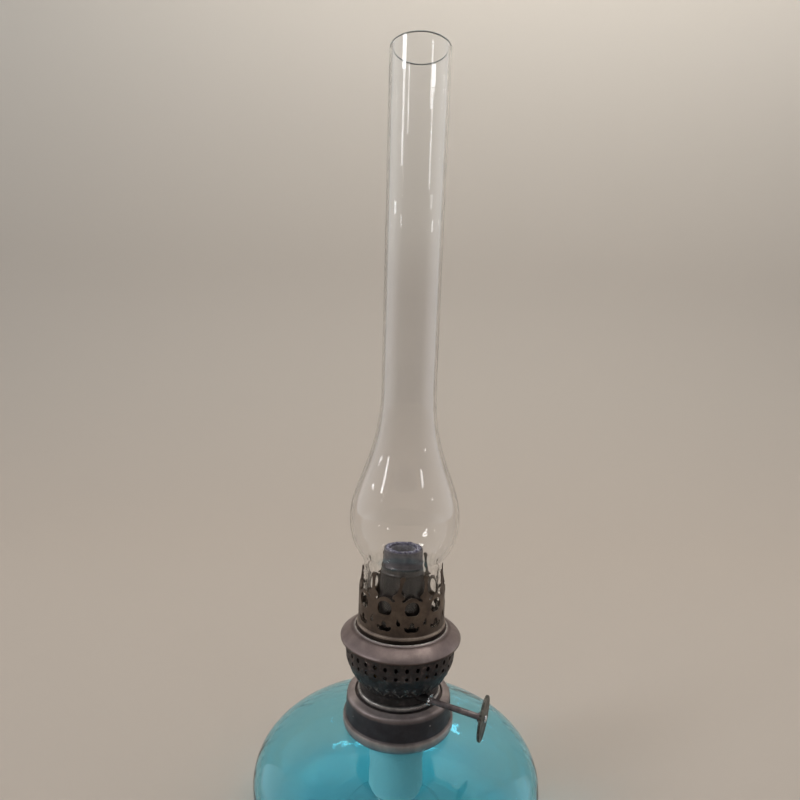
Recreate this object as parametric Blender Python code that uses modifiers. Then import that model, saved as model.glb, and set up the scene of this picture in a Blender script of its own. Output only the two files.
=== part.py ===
"""Glass kerosene lamp: blue glass fount, pierced round-wick burner and clear glass chimney.

The lamp stands on the origin, +Z up. The burner's wick feed lies along its own slanted axis, so the
pieces on it hang from an empty, and the slots that serve it are cut round the same axis.
"""
import bpy
import bmesh
from math import cos, hypot, pi, radians, sin, sqrt, tan
from mathutils import Matrix, Vector

MM = 0.001

# General fits and cuts
GAP = 0.3 * MM
OVERRUN = 2.0 * MM
WELD = 0.01 * MM
SHARP_ANGLE = radians(35)

# Round pieces: how many flats stand for a full turn
GLASS_SIDES = 30
CHIMNEY_SIDES = 26
BURNER_SIDES = 24
CROWN_SIDES = 30
TUBE_SIDES = 24
SHAFT_SIDES = 12
SMALL_HOLE_SIDES = 4

# Fount: a squat glass vessel with a short neck
FOUNT_RADIUS = 82.4 * MM
FOUNT_EQUATOR_HEIGHT = 33.5 * MM
FOUNT_SHOULDER_RADIUS = 29.6 * MM
FOUNT_SHOULDER_HEIGHT = 61.6 * MM
FOUNT_NECK_RADIUS = 26.5 * MM
FOUNT_NECK_HEIGHT = 11.3 * MM
FOUNT_NECK_FILLET = 2.4 * MM
FOUNT_FOOT_RADIUS = 48.0 * MM
FOUNT_KICK_RADIUS = 31.0 * MM
FOUNT_KICK_HEIGHT = 2.6 * MM
FOUNT_WALL = 3.2 * MM
SHOULDER_REACH_SHARE = 0.68
SHOULDER_DROP_SHARE = 0.29
SHOULDER_ROUND_SHARE = 0.53
BELLY_ROUND_SHARE = 0.52
BELLY_FOOT_SHARE = 0.58

# Collar: pressed brass ring, plastered on the neck, that takes the burner's thread
COLLAR_SHEET = 0.7 * MM
COLLAR_BEAD_RADIUS = 32.2 * MM
COLLAR_BEAD_HEIGHT = 5.3 * MM
COLLAR_SKIRT_RADIUS = 30.7 * MM
COLLAR_TOP_RADIUS = 30.1 * MM
COLLAR_HEIGHT = 18.5 * MM
COLLAR_FALL = 0.8 * MM
COLLAR_EDGE_ROUND = 1.7 * MM
COLLAR_MOUTH_RADIUS = 25.0 * MM
COLLAR_MOUTH_DEPTH = 1.5 * MM
COLLAR_MOUTH_ROUND = 0.7 * MM
COLLAR_SLEEVE_LENGTH = 11.2 * MM
PLASTER_LIP = 3.4 * MM

# Burner base: threaded ring, beaded cup and the plate that parts air from fuel
THREAD_RADIUS = 20.6 * MM
THREAD_WALL = 0.6 * MM
THREAD_LENGTH = 10.7 * MM
BURNER_SHEET = 0.6 * MM
CUP_RADIUS = 23.2 * MM
CUP_BEAD_RADIUS = 24.0 * MM
CUP_BEAD_HEIGHT = 2.5 * MM
CUP_FOOT_HEIGHT = 1.0 * MM
CUP_UPSTAND = 0.7 * MM
CUP_LEDGE_RADIUS = 18.6 * MM
VENT_RADIUS = 1.1 * MM

# Air basket: the perforated bowl round the tubes
BASKET_SHEET = 0.6 * MM
BASKET_NECK_RADIUS = 23.0 * MM
BASKET_NECK_HEIGHT = 4.2 * MM
BASKET_RADIUS = 32.3 * MM
BASKET_BOWL_RADIUS = 31.3 * MM
BASKET_BOWL_HEIGHT = 19.0 * MM
BASKET_WALL_HEIGHT = 9.4 * MM
BASKET_DECK_RADIUS = 28.6 * MM
BASKET_DECK_FALL = 1.1 * MM
BASKET_MOUTH_RADIUS = 21.6 * MM
BASKET_DECK_HEIGHT = 34.0 * MM
DECK_CORNER_SHARE = 0.70
BOWL_FLARE_SHARE = 0.03
BOWL_BELLY_SHARE = 0.30
BASKET_TURN = radians(-3.1)
BASKET_HOLE_COLUMNS = 34
BASKET_HOLE_RADIUS = 1.1 * MM
BASKET_ROW_HEIGHTS = (24.7 * MM, 19.8 * MM)
BASKET_ROW_TALL_SHARES = (1.3, 1.0)

# Gallery flange: the copper-brown convex ring
FLANGE_SHEET = 0.7 * MM
FLANGE_RADIUS = 35.0 * MM
FLANGE_FLOOR_RADIUS = 26.1 * MM
FLANGE_LIP_RADIUS = 26.8 * MM
FLANGE_LIP_HEIGHT = 1.3 * MM
FLANGE_CHANNEL_RADIUS = 28.0 * MM
FLANGE_CHANNEL_RISE = 0.5 * MM
FLANGE_DROP = 4.8 * MM
FLANGE_SKIRT = 0.9 * MM
FLANGE_CURL = 0.3 * MM
FLANGE_CREST_SHARES = (0.37, 0.77)
FLANGE_BROW_SHARES = (0.89, 0.28)

# Crown: the pierced holder of the chimney
CROWN_SHEET = 0.6 * MM
CROWN_RADIUS = 25.0 * MM
CROWN_HEIGHT = 36.9 * MM
CROWN_BEAD_RADIUS = 25.7 * MM
CROWN_BEAD_HEIGHT = 1.8 * MM
CROWN_SPIGOT_RADIUS = 24.5 * MM
CROWN_SPIGOT_HEIGHT = 2.3 * MM
CROWN_SEAT_RADIUS = 19.5 * MM
CROWN_PERIODS = 10
CROWN_TURN = radians(284)

# Crown piercings, measured up from the crown's foot and sideways from the middle of a window
WINDOW_LOW = 15.9 * MM
WINDOW_TALL = 7.8 * MM
WINDOW_WIDE = 8.6 * MM
WINDOW_SILL_SHARE = 0.66
WINDOW_SPRING_SHARE = 0.45
ARCH_STEPS = 2
ANCHOR_LOW = 6.7 * MM
ANCHOR_TALL = 5.8 * MM
ANCHOR_WIDE = 8.9 * MM
ANCHOR_OUTLINE_SHARES = (
    (0.00, 1.00), (0.14, 0.86), (0.14, 0.56), (0.27, 0.42), (0.38, 0.58), (0.50, 0.48),
    (0.42, 0.15), (0.24, 0.00), (0.00, 0.06))
TEAR_LOW = 10.2 * MM
TEAR_TALL = 4.6 * MM
TEAR_WIDE = 2.6 * MM
TEAR_LEAN = radians(14)
TEAR_OUTLINE_SHARES = (
    (0.00, 1.00), (0.22, 0.66), (0.50, 0.32), (0.34, 0.08), (0.00, 0.00))
NOTCH_LOW = 23.4 * MM
PRONG_BEND = 1.4 * MM
NOTCH_OUTLINE_SHARES = (
    (0.00, 0.18), (0.33, 0.13), (0.60, 0.00), (0.73, 0.02), (0.76, 0.09), (0.53, 0.16),
    (0.56, 0.22), (0.82, 0.34), (0.88, 0.44), (0.885, 0.79), (0.79, 0.88), (0.84, 1.00))

# Wick tubes
WICK_TUBE_RADIUS = 11.35 * MM
WICK_TUBE_BELLY_RADIUS = 13.1 * MM
WICK_TUBE_HEIGHT = 82.9 * MM
WICK_TUBE_TIP_LENGTH = 7.0 * MM
WICK_TUBE_TAPER_LENGTH = 17.0 * MM
WICK_TUBE_BELLY_LOW = 20.0 * MM
WICK_TUBE_BELLY_TAPER = 4.0 * MM
WICK_TUBE_WALL = 0.5 * MM
AIR_TUBE_WALL = 0.4 * MM
AIR_TUBE_RECESS = 0.8 * MM
AIR_TUBE_FOOT = 3.3 * MM
DUCT_WIDE = 9.0 * MM
DUCT_TALL = 12.0 * MM
DUCT_SHEET = 0.5 * MM
DUCT_LOW = 20.4 * MM

# Wick: a flat band rolled to a ring, its edges parted below for the air duct
WICK_THICKNESS = 2.7 * MM
WICK_PROUD = 1.5 * MM
WICK_SEAM = 0.6 * MM
WICK_NOTCH_TAPER = 10.0 * MM
WICK_LOWERING = 8.0 * MM
WICK_FLARE_DROP = 8.0 * MM
WICK_FLARE_RADIUS = 14.0 * MM
WICK_FLARE_LENGTH = 26.0 * MM
WICK_TAIL_CLEARANCE = 16.5 * MM
WICK_COLUMNS = 20

# Wick feed
FEED_AZIMUTH = radians(-21)
FEED_DROOP = radians(4.06)
FEED_OFFSET = 14.1 * MM
FEED_RISE = 5.39 * MM
SHAFT_RADIUS = 1.6 * MM
SHAFT_TAIL = 10.2 * MM
SHAFT_REACH = 53.94 * MM
SPIGOT_RADIUS = 0.9 * MM
SPROCKET_RADIUS = 3.75 * MM
SPROCKET_ROOT_RADIUS = 2.9 * MM
SPROCKET_THICKNESS = 1.2 * MM
SPROCKET_SPREAD = 4.0 * MM
SPROCKET_TEETH = 9
TOOTH_TIP_SHARE = 0.16
BUSH_RADIUS = 2.4 * MM
BUSH_LENGTH = 3.4 * MM
BRACKET_PLACE = 8.2 * MM
BRACKET_THICKNESS = 1.0 * MM
BRACKET_HALF_WIDTH = 2.8 * MM
BRACKET_FOOT = 3.0 * MM
THUMB_WHEEL_RADIUS = 11.4 * MM
THUMB_WHEEL_THICKNESS = 1.3 * MM
THUMB_WHEEL_FLUTES = 24
THUMB_WHEEL_FLUTE_DEPTH = 0.35 * MM
HUB_RADIUS = 2.6 * MM
HUB_LENGTH = 2.0 * MM
RIVET_RADIUS = 1.9 * MM
RIVET_HEIGHT = 0.9 * MM

# Chimney
CHIMNEY_WALL = 1.6 * MM
CHIMNEY_HEIGHT = 320.3 * MM
CHIMNEY_FOOT_RADIUS = 22.5 * MM
CHIMNEY_FOOT_HEIGHT = 34.8 * MM
CHIMNEY_BULB_RADIUS = 31.4 * MM
CHIMNEY_BULB_HEIGHT = 59.5 * MM
CHIMNEY_WAIST_RADIUS = 15.8 * MM
CHIMNEY_WAIST_HEIGHT = 130.0 * MM
CHIMNEY_TOP_RADIUS = 17.2 * MM
BULB_UNDER_OUT_SHARE = 0.60
BULB_UNDER_RISE_SHARE = 0.24
BULB_UNDER_END_SHARE = 0.48
BULB_SHOULDER_SHARE = 0.28
BULB_WAIST_SHARE = 0.52
FLUE_STRAIGHT_SHARE = 0.32
FLUE_FLARE_SHARE = 0.37

# Heights that follow from how the pieces stand on each other
KICK_FLOOR = FOUNT_KICK_HEIGHT + FOUNT_WALL
COLLAR_BASE = FOUNT_SHOULDER_HEIGHT + 2 * GAP
COLLAR_TOP = COLLAR_BASE + COLLAR_HEIGHT
NECK_TOP = FOUNT_SHOULDER_HEIGHT + FOUNT_NECK_HEIGHT
COLLAR_LEDGE = COLLAR_TOP - COLLAR_MOUTH_DEPTH
COLLAR_BORE_RADIUS = THREAD_RADIUS + GAP
CUP_BASE = COLLAR_LEDGE + GAP
CUP_BEAD_LOW = CUP_BASE + CUP_FOOT_HEIGHT
CUP_BEAD_TOP = CUP_BEAD_LOW + CUP_BEAD_HEIGHT
PLATE_LOW = CUP_BASE + BURNER_SHEET + GAP
PLATE_TOP = PLATE_LOW + BURNER_SHEET
BASKET_BASE = CUP_BEAD_TOP + GAP
BASKET_TOP = BASKET_BASE + BASKET_DECK_HEIGHT
FEED_HEIGHT = BASKET_BASE + FEED_RISE
FLANGE_FLOOR = BASKET_TOP + GAP + FLANGE_SHEET
CROWN_BASE = FLANGE_FLOOR + GAP
CROWN_SEAT = CROWN_BASE + CROWN_SPIGOT_HEIGHT + CROWN_BEAD_HEIGHT + CROWN_SHEET
CHIMNEY_BASE = CROWN_SEAT + GAP
TUBE_BASE = PLATE_TOP + GAP
TUBE_TOP = TUBE_BASE + WICK_TUBE_HEIGHT
WICK_OUTER_RADIUS = WICK_TUBE_RADIUS - WICK_TUBE_WALL - GAP
WICK_INNER_RADIUS = WICK_OUTER_RADIUS - WICK_THICKNESS
WICK_MEAN_RADIUS = WICK_OUTER_RADIUS - WICK_THICKNESS / 2
AIR_TUBE_RADIUS = WICK_INNER_RADIUS - GAP
AIR_TUBE_TOP = TUBE_TOP - AIR_TUBE_RECESS
DUCT_BASE = TUBE_BASE + DUCT_LOW
AIR_TUBE_BASE = DUCT_BASE - AIR_TUBE_FOOT
WICK_TOP = TUBE_TOP + WICK_PROUD
SHAFT_BORE = SHAFT_RADIUS + GAP


def clear_scene():
    for obj in list(bpy.data.objects):
        bpy.data.objects.remove(obj, do_unlink=True)


def new_collection(name):
    made = bpy.data.collections.new(name)
    bpy.context.scene.collection.children.link(made)
    return made


clear_scene()
PARTS = new_collection("glass_kerosene_lamp")
CUTTERS = new_collection("cutters")


def surface(name, colour, roughness, metallic=0.0, alpha=1.0):
    """A plain material of one colour."""
    made = bpy.data.materials.new(name)
    made.use_nodes = True
    shader = made.node_tree.nodes["Principled BSDF"]
    shader.inputs["Base Color"].default_value = (*colour, 1.0)
    shader.inputs["Roughness"].default_value = roughness
    shader.inputs["Metallic"].default_value = metallic
    shader.inputs["Alpha"].default_value = alpha
    made.diffuse_color = (*colour, alpha)
    return made


def place(name, mesh, material, parent=None, home=PARTS):
    """Link a mesh as a named object."""
    obj = bpy.data.objects.new(name, mesh)
    home.objects.link(obj)
    obj.parent = parent
    if material is not None:
        mesh.materials.append(material)
    return obj


def frame_at(name, matrix):
    """An empty that carries the pieces made in its own axes."""
    empty = bpy.data.objects.new(name, None)
    PARTS.objects.link(empty)
    empty.matrix_world = matrix
    return empty


def smooth(mesh):
    mesh.shade_smooth()
    mesh.set_sharp_from_angle(angle=SHARP_ANGLE)


def settle(obj):
    """Give the object the mesh that its modifiers make."""
    bpy.context.view_layer.update()
    graph = bpy.context.evaluated_depsgraph_get()
    made = bpy.data.meshes.new_from_object(obj.evaluated_get(graph))
    obj.modifiers.clear()
    old = obj.data
    obj.data = made
    bpy.data.meshes.remove(old)
    smooth(made)


def bezier(start, first, second, end, steps):
    """Points of one cubic arc, its start left out."""
    points = []
    for step in range(1, steps + 1):
        t = step / steps
        s = 1 - t
        weights = (s ** 3, 3 * s * s * t, 3 * s * t * t, t ** 3)
        points.append(tuple(
            sum(w * p[axis] for w, p in zip(weights, (start, first, second, end)))
            for axis in range(2)))
    return points


def fillet(before, corner, after, steps):
    """Points of a rounded corner between two ends of its legs, both ends kept."""
    return [before] + bezier(before, corner, corner, after, steps)


def offset(path, distance):
    """The path moved to its right-hand side by a distance, with mitred corners."""
    moved = []
    for index, point in enumerate(path):
        ahead = path[min(index + 1, len(path) - 1)]
        behind = path[max(index - 1, 0)]
        legs = []
        for a, b in ((behind, point), (point, ahead)):
            run = hypot(b[0] - a[0], b[1] - a[1])
            if run > 0:
                legs.append(((b[1] - a[1]) / run, -(b[0] - a[0]) / run))
        normal = [sum(leg[axis] for leg in legs) for axis in range(2)]
        size = hypot(*normal)
        unit = [value / size for value in normal]
        stretch = unit[0] * legs[0][0] + unit[1] * legs[0][1]
        moved.append(tuple(point[axis] + unit[axis] * distance / stretch for axis in range(2)))
    return moved


def turned(name, outline, sides, material, closed, parent=None, home=PARTS):
    """Revolve an outline of (radius, height) points that runs down its outer side."""
    mesh = bpy.data.meshes.new(name)
    count = len(outline)
    edges = [(i, i + 1) for i in range(count - 1)]
    if closed:
        edges.append((count - 1, 0))
    mesh.from_pydata([(radius, 0, height) for radius, height in outline], edges, [])
    obj = place(name, mesh, material, parent, home)
    screw = obj.modifiers.new("turn", "SCREW")
    screw.steps = sides
    screw.render_steps = sides
    screw.use_merge_vertices = True
    screw.merge_threshold = WELD
    screw.use_smooth_shade = True
    settle(obj)
    return obj


def pressed(name, path, sheet, sides, material, parent=None):
    """Revolve sheet metal whose upper or outer face follows the path, going down or outwards."""
    return turned(name, path + offset(path, sheet)[::-1], sides, material, True, parent)


def flat_piece(name, loops, thickness, material, parent=None, home=PARTS, matrix=None):
    """Fill closed outlines in the XY plane and give them a thickness along Z."""
    curve = bpy.data.curves.new(name, "CURVE")
    curve.dimensions = "2D"
    curve.fill_mode = "BOTH"
    curve.extrude = thickness / 2
    for loop in loops:
        spline = curve.splines.new("POLY")
        spline.points.add(len(loop) - 1)
        for point, (x, y) in zip(spline.points, loop):
            point.co = (x, y, 0, 1)
        spline.use_cyclic_u = True
    drawn = place(name + "_outline", curve, None, None, home)
    bpy.context.view_layer.update()
    graph = bpy.context.evaluated_depsgraph_get()
    mesh = bpy.data.meshes.new_from_object(drawn.evaluated_get(graph))
    bpy.data.objects.remove(drawn)
    bpy.data.curves.remove(curve)
    weld(mesh)
    if matrix is not None:
        mesh.transform(matrix)
    mesh.name = name
    obj = place(name, mesh, material, parent, home)
    smooth(mesh)
    return obj


def weld(mesh):
    """Join the loose caps of a mesh to its sides and point every face outwards."""
    work = bmesh.new()
    work.from_mesh(mesh)
    bmesh.ops.remove_doubles(work, verts=work.verts, dist=WELD)
    bmesh.ops.recalc_face_normals(work, faces=work.faces)
    work.to_mesh(mesh)
    work.free()


def rod_mesh(name, sections, sides):
    """Solid of stacked rounds along X: each section is (start, end, radius)."""
    work = bmesh.new()
    for start, end, radius in sections:
        matrix = Matrix.Translation(((start + end) / 2, 0, 0)) @ Matrix.Rotation(pi / 2, 4, "Y")
        bmesh.ops.create_cone(
            work, cap_ends=True, segments=sides, radius1=radius, radius2=radius,
            depth=end - start, matrix=matrix)
    mesh = bpy.data.meshes.new(name)
    work.to_mesh(mesh)
    work.free()
    return mesh


def rod(name, start, end, radius, sides, material, parent=None, home=PARTS):
    mesh = rod_mesh(name, [(start, end, radius)], sides)
    smooth(mesh)
    return place(name, mesh, material, parent, home)


def block(name, low, high, material, parent=None, home=PARTS):
    """A box between two corners."""
    work = bmesh.new()
    size = [b - a for a, b in zip(low, high)]
    middle = [(a + b) / 2 for a, b in zip(low, high)]
    matrix = Matrix.Translation(middle) @ Matrix.Diagonal((*size, 1))
    bmesh.ops.create_cube(work, size=1, matrix=matrix)
    mesh = bpy.data.meshes.new(name)
    work.to_mesh(mesh)
    work.free()
    return place(name, mesh, material, parent, home)


def combine(target, other, operation="DIFFERENCE"):
    """Cut a piece with another, or join them, and hide the other."""
    other.hide_render = True
    other.display_type = "WIRE"
    change = target.modifiers.new(operation.lower(), "BOOLEAN")
    change.operation = operation
    change.solver = "EXACT"
    change.object = other
    settle(target)


def joined_cutter(name, shapes):
    """Gather separate cutter shapes, given as (object, matrix), into one object."""
    work = bmesh.new()
    for source, matrix in shapes:
        copy = source.data.copy()
        copy.transform(matrix)
        work.from_mesh(copy)
        bpy.data.meshes.remove(copy)
    mesh = bpy.data.meshes.new(name)
    work.to_mesh(mesh)
    work.free()
    return place(name, mesh, None, None, CUTTERS)


def mirrored(half):
    """A closed outline from its half at positive X, whose ends lie on the middle line."""
    return half + [(-x, y) for x, y in reversed(half) if x > 0]


GLASS_BLUE = surface("blue_glass", (0.02, 0.36, 0.46), 0.06, alpha=0.5)
GLASS_CLEAR = surface("clear_glass", (0.85, 0.88, 0.86), 0.04, alpha=0.25)
COPPER_BROWN = surface("copper_brown_brass", (0.16, 0.085, 0.065), 0.42, 0.9)
DARK_BRASS = surface("dark_patina_brass", (0.05, 0.032, 0.024), 0.5, 0.85)
BLACK_BRASS = surface("blackened_brass", (0.018, 0.015, 0.017), 0.48, 0.8)
SOOTY_BRASS = surface("sooty_brass", (0.025, 0.024, 0.026), 0.6, 0.7)
PLAIN_BRASS = surface("plain_brass", (0.35, 0.24, 0.1), 0.45, 0.95)
STEEL_BROWN = surface("browned_steel", (0.09, 0.068, 0.055), 0.45, 0.9)
PLASTER = surface("old_plaster", (0.5, 0.47, 0.42), 0.9)
COTTON = surface("cotton_wick", (0.62, 0.57, 0.48), 0.95)

# The burner's own axes: X along the feed shaft seen from above, Z up the lamp
BURNER_MATRIX = Matrix.Rotation(FEED_AZIMUTH, 4, "Z")
BURNER_FRAME = frame_at("burner_frame", BURNER_MATRIX)

# The feed axis: origin where the shaft passes the wick, X out along the shaft
FEED_MATRIX = (BURNER_MATRIX @ Matrix.Translation((0, -FEED_OFFSET, FEED_HEIGHT))
               @ Matrix.Rotation(FEED_DROOP, 4, "Y"))
FEED_FRAME = frame_at("feed_axis", FEED_MATRIX)


def fount_outline():
    """Outer wall from the neck's top edge down to the middle of the kicked-up base."""
    neck_low = FOUNT_SHOULDER_HEIGHT + FOUNT_NECK_FILLET
    shoulder = (FOUNT_SHOULDER_RADIUS, FOUNT_SHOULDER_HEIGHT)
    equator = (FOUNT_RADIUS, FOUNT_EQUATOR_HEIGHT)
    reach = FOUNT_RADIUS - FOUNT_SHOULDER_RADIUS
    drop = FOUNT_SHOULDER_HEIGHT - FOUNT_EQUATOR_HEIGHT
    crest = (FOUNT_SHOULDER_RADIUS + SHOULDER_REACH_SHARE * reach,
             FOUNT_SHOULDER_HEIGHT - SHOULDER_DROP_SHARE * drop)
    brow = (FOUNT_RADIUS, FOUNT_EQUATOR_HEIGHT + SHOULDER_ROUND_SHARE * drop)
    belly = (FOUNT_RADIUS, FOUNT_EQUATOR_HEIGHT * (1 - BELLY_ROUND_SHARE))
    heel = (FOUNT_FOOT_RADIUS + BELLY_FOOT_SHARE * (FOUNT_RADIUS - FOUNT_FOOT_RADIUS), 0)
    foot = (FOUNT_FOOT_RADIUS, 0)
    kick = (FOUNT_KICK_RADIUS, 0)
    path = [(FOUNT_NECK_RADIUS, NECK_TOP)]
    path += fillet((FOUNT_NECK_RADIUS, neck_low), (FOUNT_NECK_RADIUS, FOUNT_SHOULDER_HEIGHT), shoulder, 2)
    path += bezier(shoulder, crest, brow, equator, 6)
    path += bezier(equator, belly, heel, foot, 4)
    path += [kick, (FOUNT_KICK_RADIUS / 2, FOUNT_KICK_HEIGHT), (0, FOUNT_KICK_HEIGHT)]
    return path


def make_fount():
    outer = fount_outline()
    inner = offset(outer, FOUNT_WALL)
    inner[0] = (inner[0][0], NECK_TOP)
    inner[-1] = (0, KICK_FLOOR)
    inner = inner[:4] + inner[5:-3:2] + inner[-2:]
    return turned("fount", inner[::-1] + outer, GLASS_SIDES, GLASS_BLUE, False)


def make_plaster():
    """Cement that fills the collar round and above the neck."""
    outer = COLLAR_TOP_RADIUS - COLLAR_SHEET - GAP
    bore = COLLAR_BORE_RADIUS + COLLAR_SHEET + GAP
    top = COLLAR_LEDGE - COLLAR_SHEET - GAP
    low = FOUNT_SHOULDER_HEIGHT + FOUNT_NECK_FILLET + GAP
    neck = FOUNT_NECK_RADIUS + GAP
    outline = [(outer - PLASTER_LIP, top), (outer, top - PLASTER_LIP), (outer, low), (neck, low),
               (neck, NECK_TOP + GAP), (bore, NECK_TOP + GAP), (bore, top)]
    return turned("neck_plaster", outline, TUBE_SIDES, PLASTER, True)


def make_collar():
    """From the thread sleeve up over the mouth, across the top and down to the rolled bead."""
    bead_mid = COLLAR_BASE + COLLAR_BEAD_HEIGHT / 3
    bead_top = COLLAR_BASE + COLLAR_BEAD_HEIGHT
    edge_top = COLLAR_TOP - COLLAR_FALL
    mouth = COLLAR_MOUTH_RADIUS + COLLAR_MOUTH_ROUND
    plateau = (COLLAR_TOP_RADIUS - COLLAR_EDGE_ROUND,
               edge_top + COLLAR_FALL * COLLAR_EDGE_ROUND / (COLLAR_TOP_RADIUS - mouth))
    path = [(COLLAR_BORE_RADIUS, COLLAR_LEDGE - COLLAR_SLEEVE_LENGTH),
            (COLLAR_BORE_RADIUS, COLLAR_LEDGE), (COLLAR_MOUTH_RADIUS, COLLAR_LEDGE),
            (mouth, COLLAR_TOP)]
    path += fillet(plateau, (COLLAR_TOP_RADIUS, edge_top),
                   (COLLAR_TOP_RADIUS, edge_top - COLLAR_EDGE_ROUND), 2)
    path += fillet((COLLAR_SKIRT_RADIUS, bead_top), (COLLAR_BEAD_RADIUS, bead_top),
                   (COLLAR_BEAD_RADIUS, bead_mid), 2)
    path += [(COLLAR_BEAD_RADIUS - COLLAR_SHEET, COLLAR_BASE)]
    return pressed("collar", path, COLLAR_SHEET, BURNER_SIDES, COPPER_BROWN)


def make_burner_base():
    inner = THREAD_RADIUS - THREAD_WALL
    top = CUP_BASE - GAP
    ring = [(THREAD_RADIUS, top), (THREAD_RADIUS, top - THREAD_LENGTH), (inner, top - THREAD_LENGTH),
            (inner, top)]
    turned("thread_ring", ring, TUBE_SIDES, PLAIN_BRASS, True, BURNER_FRAME)

    upstand = BASKET_NECK_RADIUS - BASKET_SHEET - GAP
    bead_round = (CUP_BEAD_RADIUS - CUP_RADIUS) / 2
    outline = [(upstand, CUP_BEAD_TOP + CUP_UPSTAND), (upstand, CUP_BEAD_TOP),
               (CUP_RADIUS, CUP_BEAD_TOP),
               (CUP_BEAD_RADIUS, CUP_BEAD_TOP - bead_round), (CUP_BEAD_RADIUS, CUP_BEAD_LOW + bead_round),
               (CUP_RADIUS, CUP_BEAD_LOW), (CUP_RADIUS, CUP_BASE), (CUP_LEDGE_RADIUS, CUP_BASE),
               (CUP_LEDGE_RADIUS, CUP_BASE + BURNER_SHEET),
               (upstand - BURNER_SHEET, CUP_BASE + BURNER_SHEET),
               (upstand - BURNER_SHEET, CUP_BEAD_TOP + CUP_UPSTAND)]
    turned("burner_cup", outline, BURNER_SIDES, DARK_BRASS, True, BURNER_FRAME)

    rim = upstand - BURNER_SHEET - GAP
    bore = WICK_OUTER_RADIUS + GAP
    outline = [(rim, PLATE_TOP), (rim, PLATE_LOW), (bore, PLATE_LOW), (bore, PLATE_TOP)]
    plate = turned("base_plate", outline, TUBE_SIDES, PLAIN_BRASS, True, BURNER_FRAME)
    drill = turned("vent_cutter", [(0, PLATE_TOP + OVERRUN), (VENT_RADIUS, PLATE_TOP + OVERRUN),
                                   (VENT_RADIUS, PLATE_LOW - OVERRUN), (0, PLATE_LOW - OVERRUN)],
                   SMALL_HOLE_SIDES, None, False, BURNER_FRAME, CUTTERS)
    drill.location = ((rim + bore) / 2, 0, 0)
    combine(plate, drill)


def basket_path():
    """Outer face of the basket from its mouth, over the deck and down the bowl to the neck."""
    wall_top = BASKET_BASE + BASKET_BOWL_HEIGHT + BASKET_WALL_HEIGHT
    bowl_top = (BASKET_BOWL_RADIUS, BASKET_BASE + BASKET_BOWL_HEIGHT)
    neck_top = (BASKET_NECK_RADIUS, BASKET_BASE + BASKET_NECK_HEIGHT)
    fall = BASKET_BOWL_HEIGHT - BASKET_NECK_HEIGHT
    flare = BOWL_FLARE_SHARE * (BASKET_RADIUS - BASKET_NECK_RADIUS)
    path = [(BASKET_MOUTH_RADIUS, BASKET_TOP)]
    corner = (BASKET_DECK_RADIUS + DECK_CORNER_SHARE * (BASKET_RADIUS - BASKET_DECK_RADIUS),
              BASKET_TOP - BASKET_DECK_FALL)
    path += fillet((BASKET_DECK_RADIUS, BASKET_TOP), corner, (BASKET_RADIUS, wall_top), 2)
    path += [bowl_top]
    path += bezier(bowl_top, (BASKET_BOWL_RADIUS - flare, bowl_top[1] - BOWL_BELLY_SHARE * fall),
                   (BASKET_NECK_RADIUS + flare, neck_top[1]), neck_top, 4)
    path += [(BASKET_NECK_RADIUS, BASKET_BASE)]
    return path


def radius_at(path, height):
    """Radius of a falling path at a height."""
    for (r0, z0), (r1, z1) in zip(path, path[1:]):
        if z1 <= height <= z0 and z0 > z1:
            return r0 + (r1 - r0) * (z0 - height) / (z0 - z1)
    return path[-1][0]


def make_basket():
    path = basket_path()
    basket = pressed("air_basket", path, BASKET_SHEET, BASKET_HOLE_COLUMNS, BLACK_BRASS)
    bit = rod("hole_bit", -OVERRUN, OVERRUN, BASKET_HOLE_RADIUS, SMALL_HOLE_SIDES, None, None, CUTTERS)
    shapes = []
    for row, tall in zip(BASKET_ROW_HEIGHTS, BASKET_ROW_TALL_SHARES):
        height = BASKET_BASE + row
        for column in range(BASKET_HOLE_COLUMNS):
            turn = 2 * pi * (column + 1 / 2) / BASKET_HOLE_COLUMNS
            shapes.append((bit, Matrix.Rotation(turn, 4, "Z")
                           @ Matrix.Translation((radius_at(path, height), 0, height))
                           @ Matrix.Diagonal((1, 1, tall, 1))))
    holes = joined_cutter("basket_holes", shapes)
    bpy.data.objects.remove(bit)
    combine(basket, holes)
    basket.data.transform(Matrix.Rotation(BASKET_TURN, 4, "Z"))
    seat = rod("bush_hole", 0, BASKET_RADIUS, BUSH_RADIUS + GAP, SHAFT_SIDES, None, FEED_FRAME, CUTTERS)
    combine(basket, seat)


def make_flange():
    """Floor under the crown, raised lip, channel, sloping brow and turned-down edge."""
    lip_width = FLANGE_LIP_RADIUS - FLANGE_FLOOR_RADIUS
    channel = (FLANGE_CHANNEL_RADIUS, FLANGE_FLOOR + FLANGE_CHANNEL_RISE)
    edge = (FLANGE_RADIUS, FLANGE_FLOOR - FLANGE_DROP)
    crest, brow = [(channel[0] + out * (edge[0] - channel[0]), edge[1] + up * (channel[1] - edge[1]))
                   for out, up in (FLANGE_CREST_SHARES, FLANGE_BROW_SHARES)]
    path = [(BASKET_MOUTH_RADIUS, FLANGE_FLOOR), (FLANGE_FLOOR_RADIUS, FLANGE_FLOOR),
            (FLANGE_FLOOR_RADIUS, FLANGE_FLOOR + FLANGE_LIP_HEIGHT - lip_width / 2),
            (FLANGE_LIP_RADIUS, FLANGE_FLOOR + FLANGE_LIP_HEIGHT), channel]
    path += bezier(channel, crest, brow, edge, 4)
    path += [(FLANGE_RADIUS - FLANGE_CURL, edge[1] - FLANGE_SKIRT)]
    return pressed("gallery_flange", path, FLANGE_SHEET, BURNER_SIDES, COPPER_BROWN, BURNER_FRAME)


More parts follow.
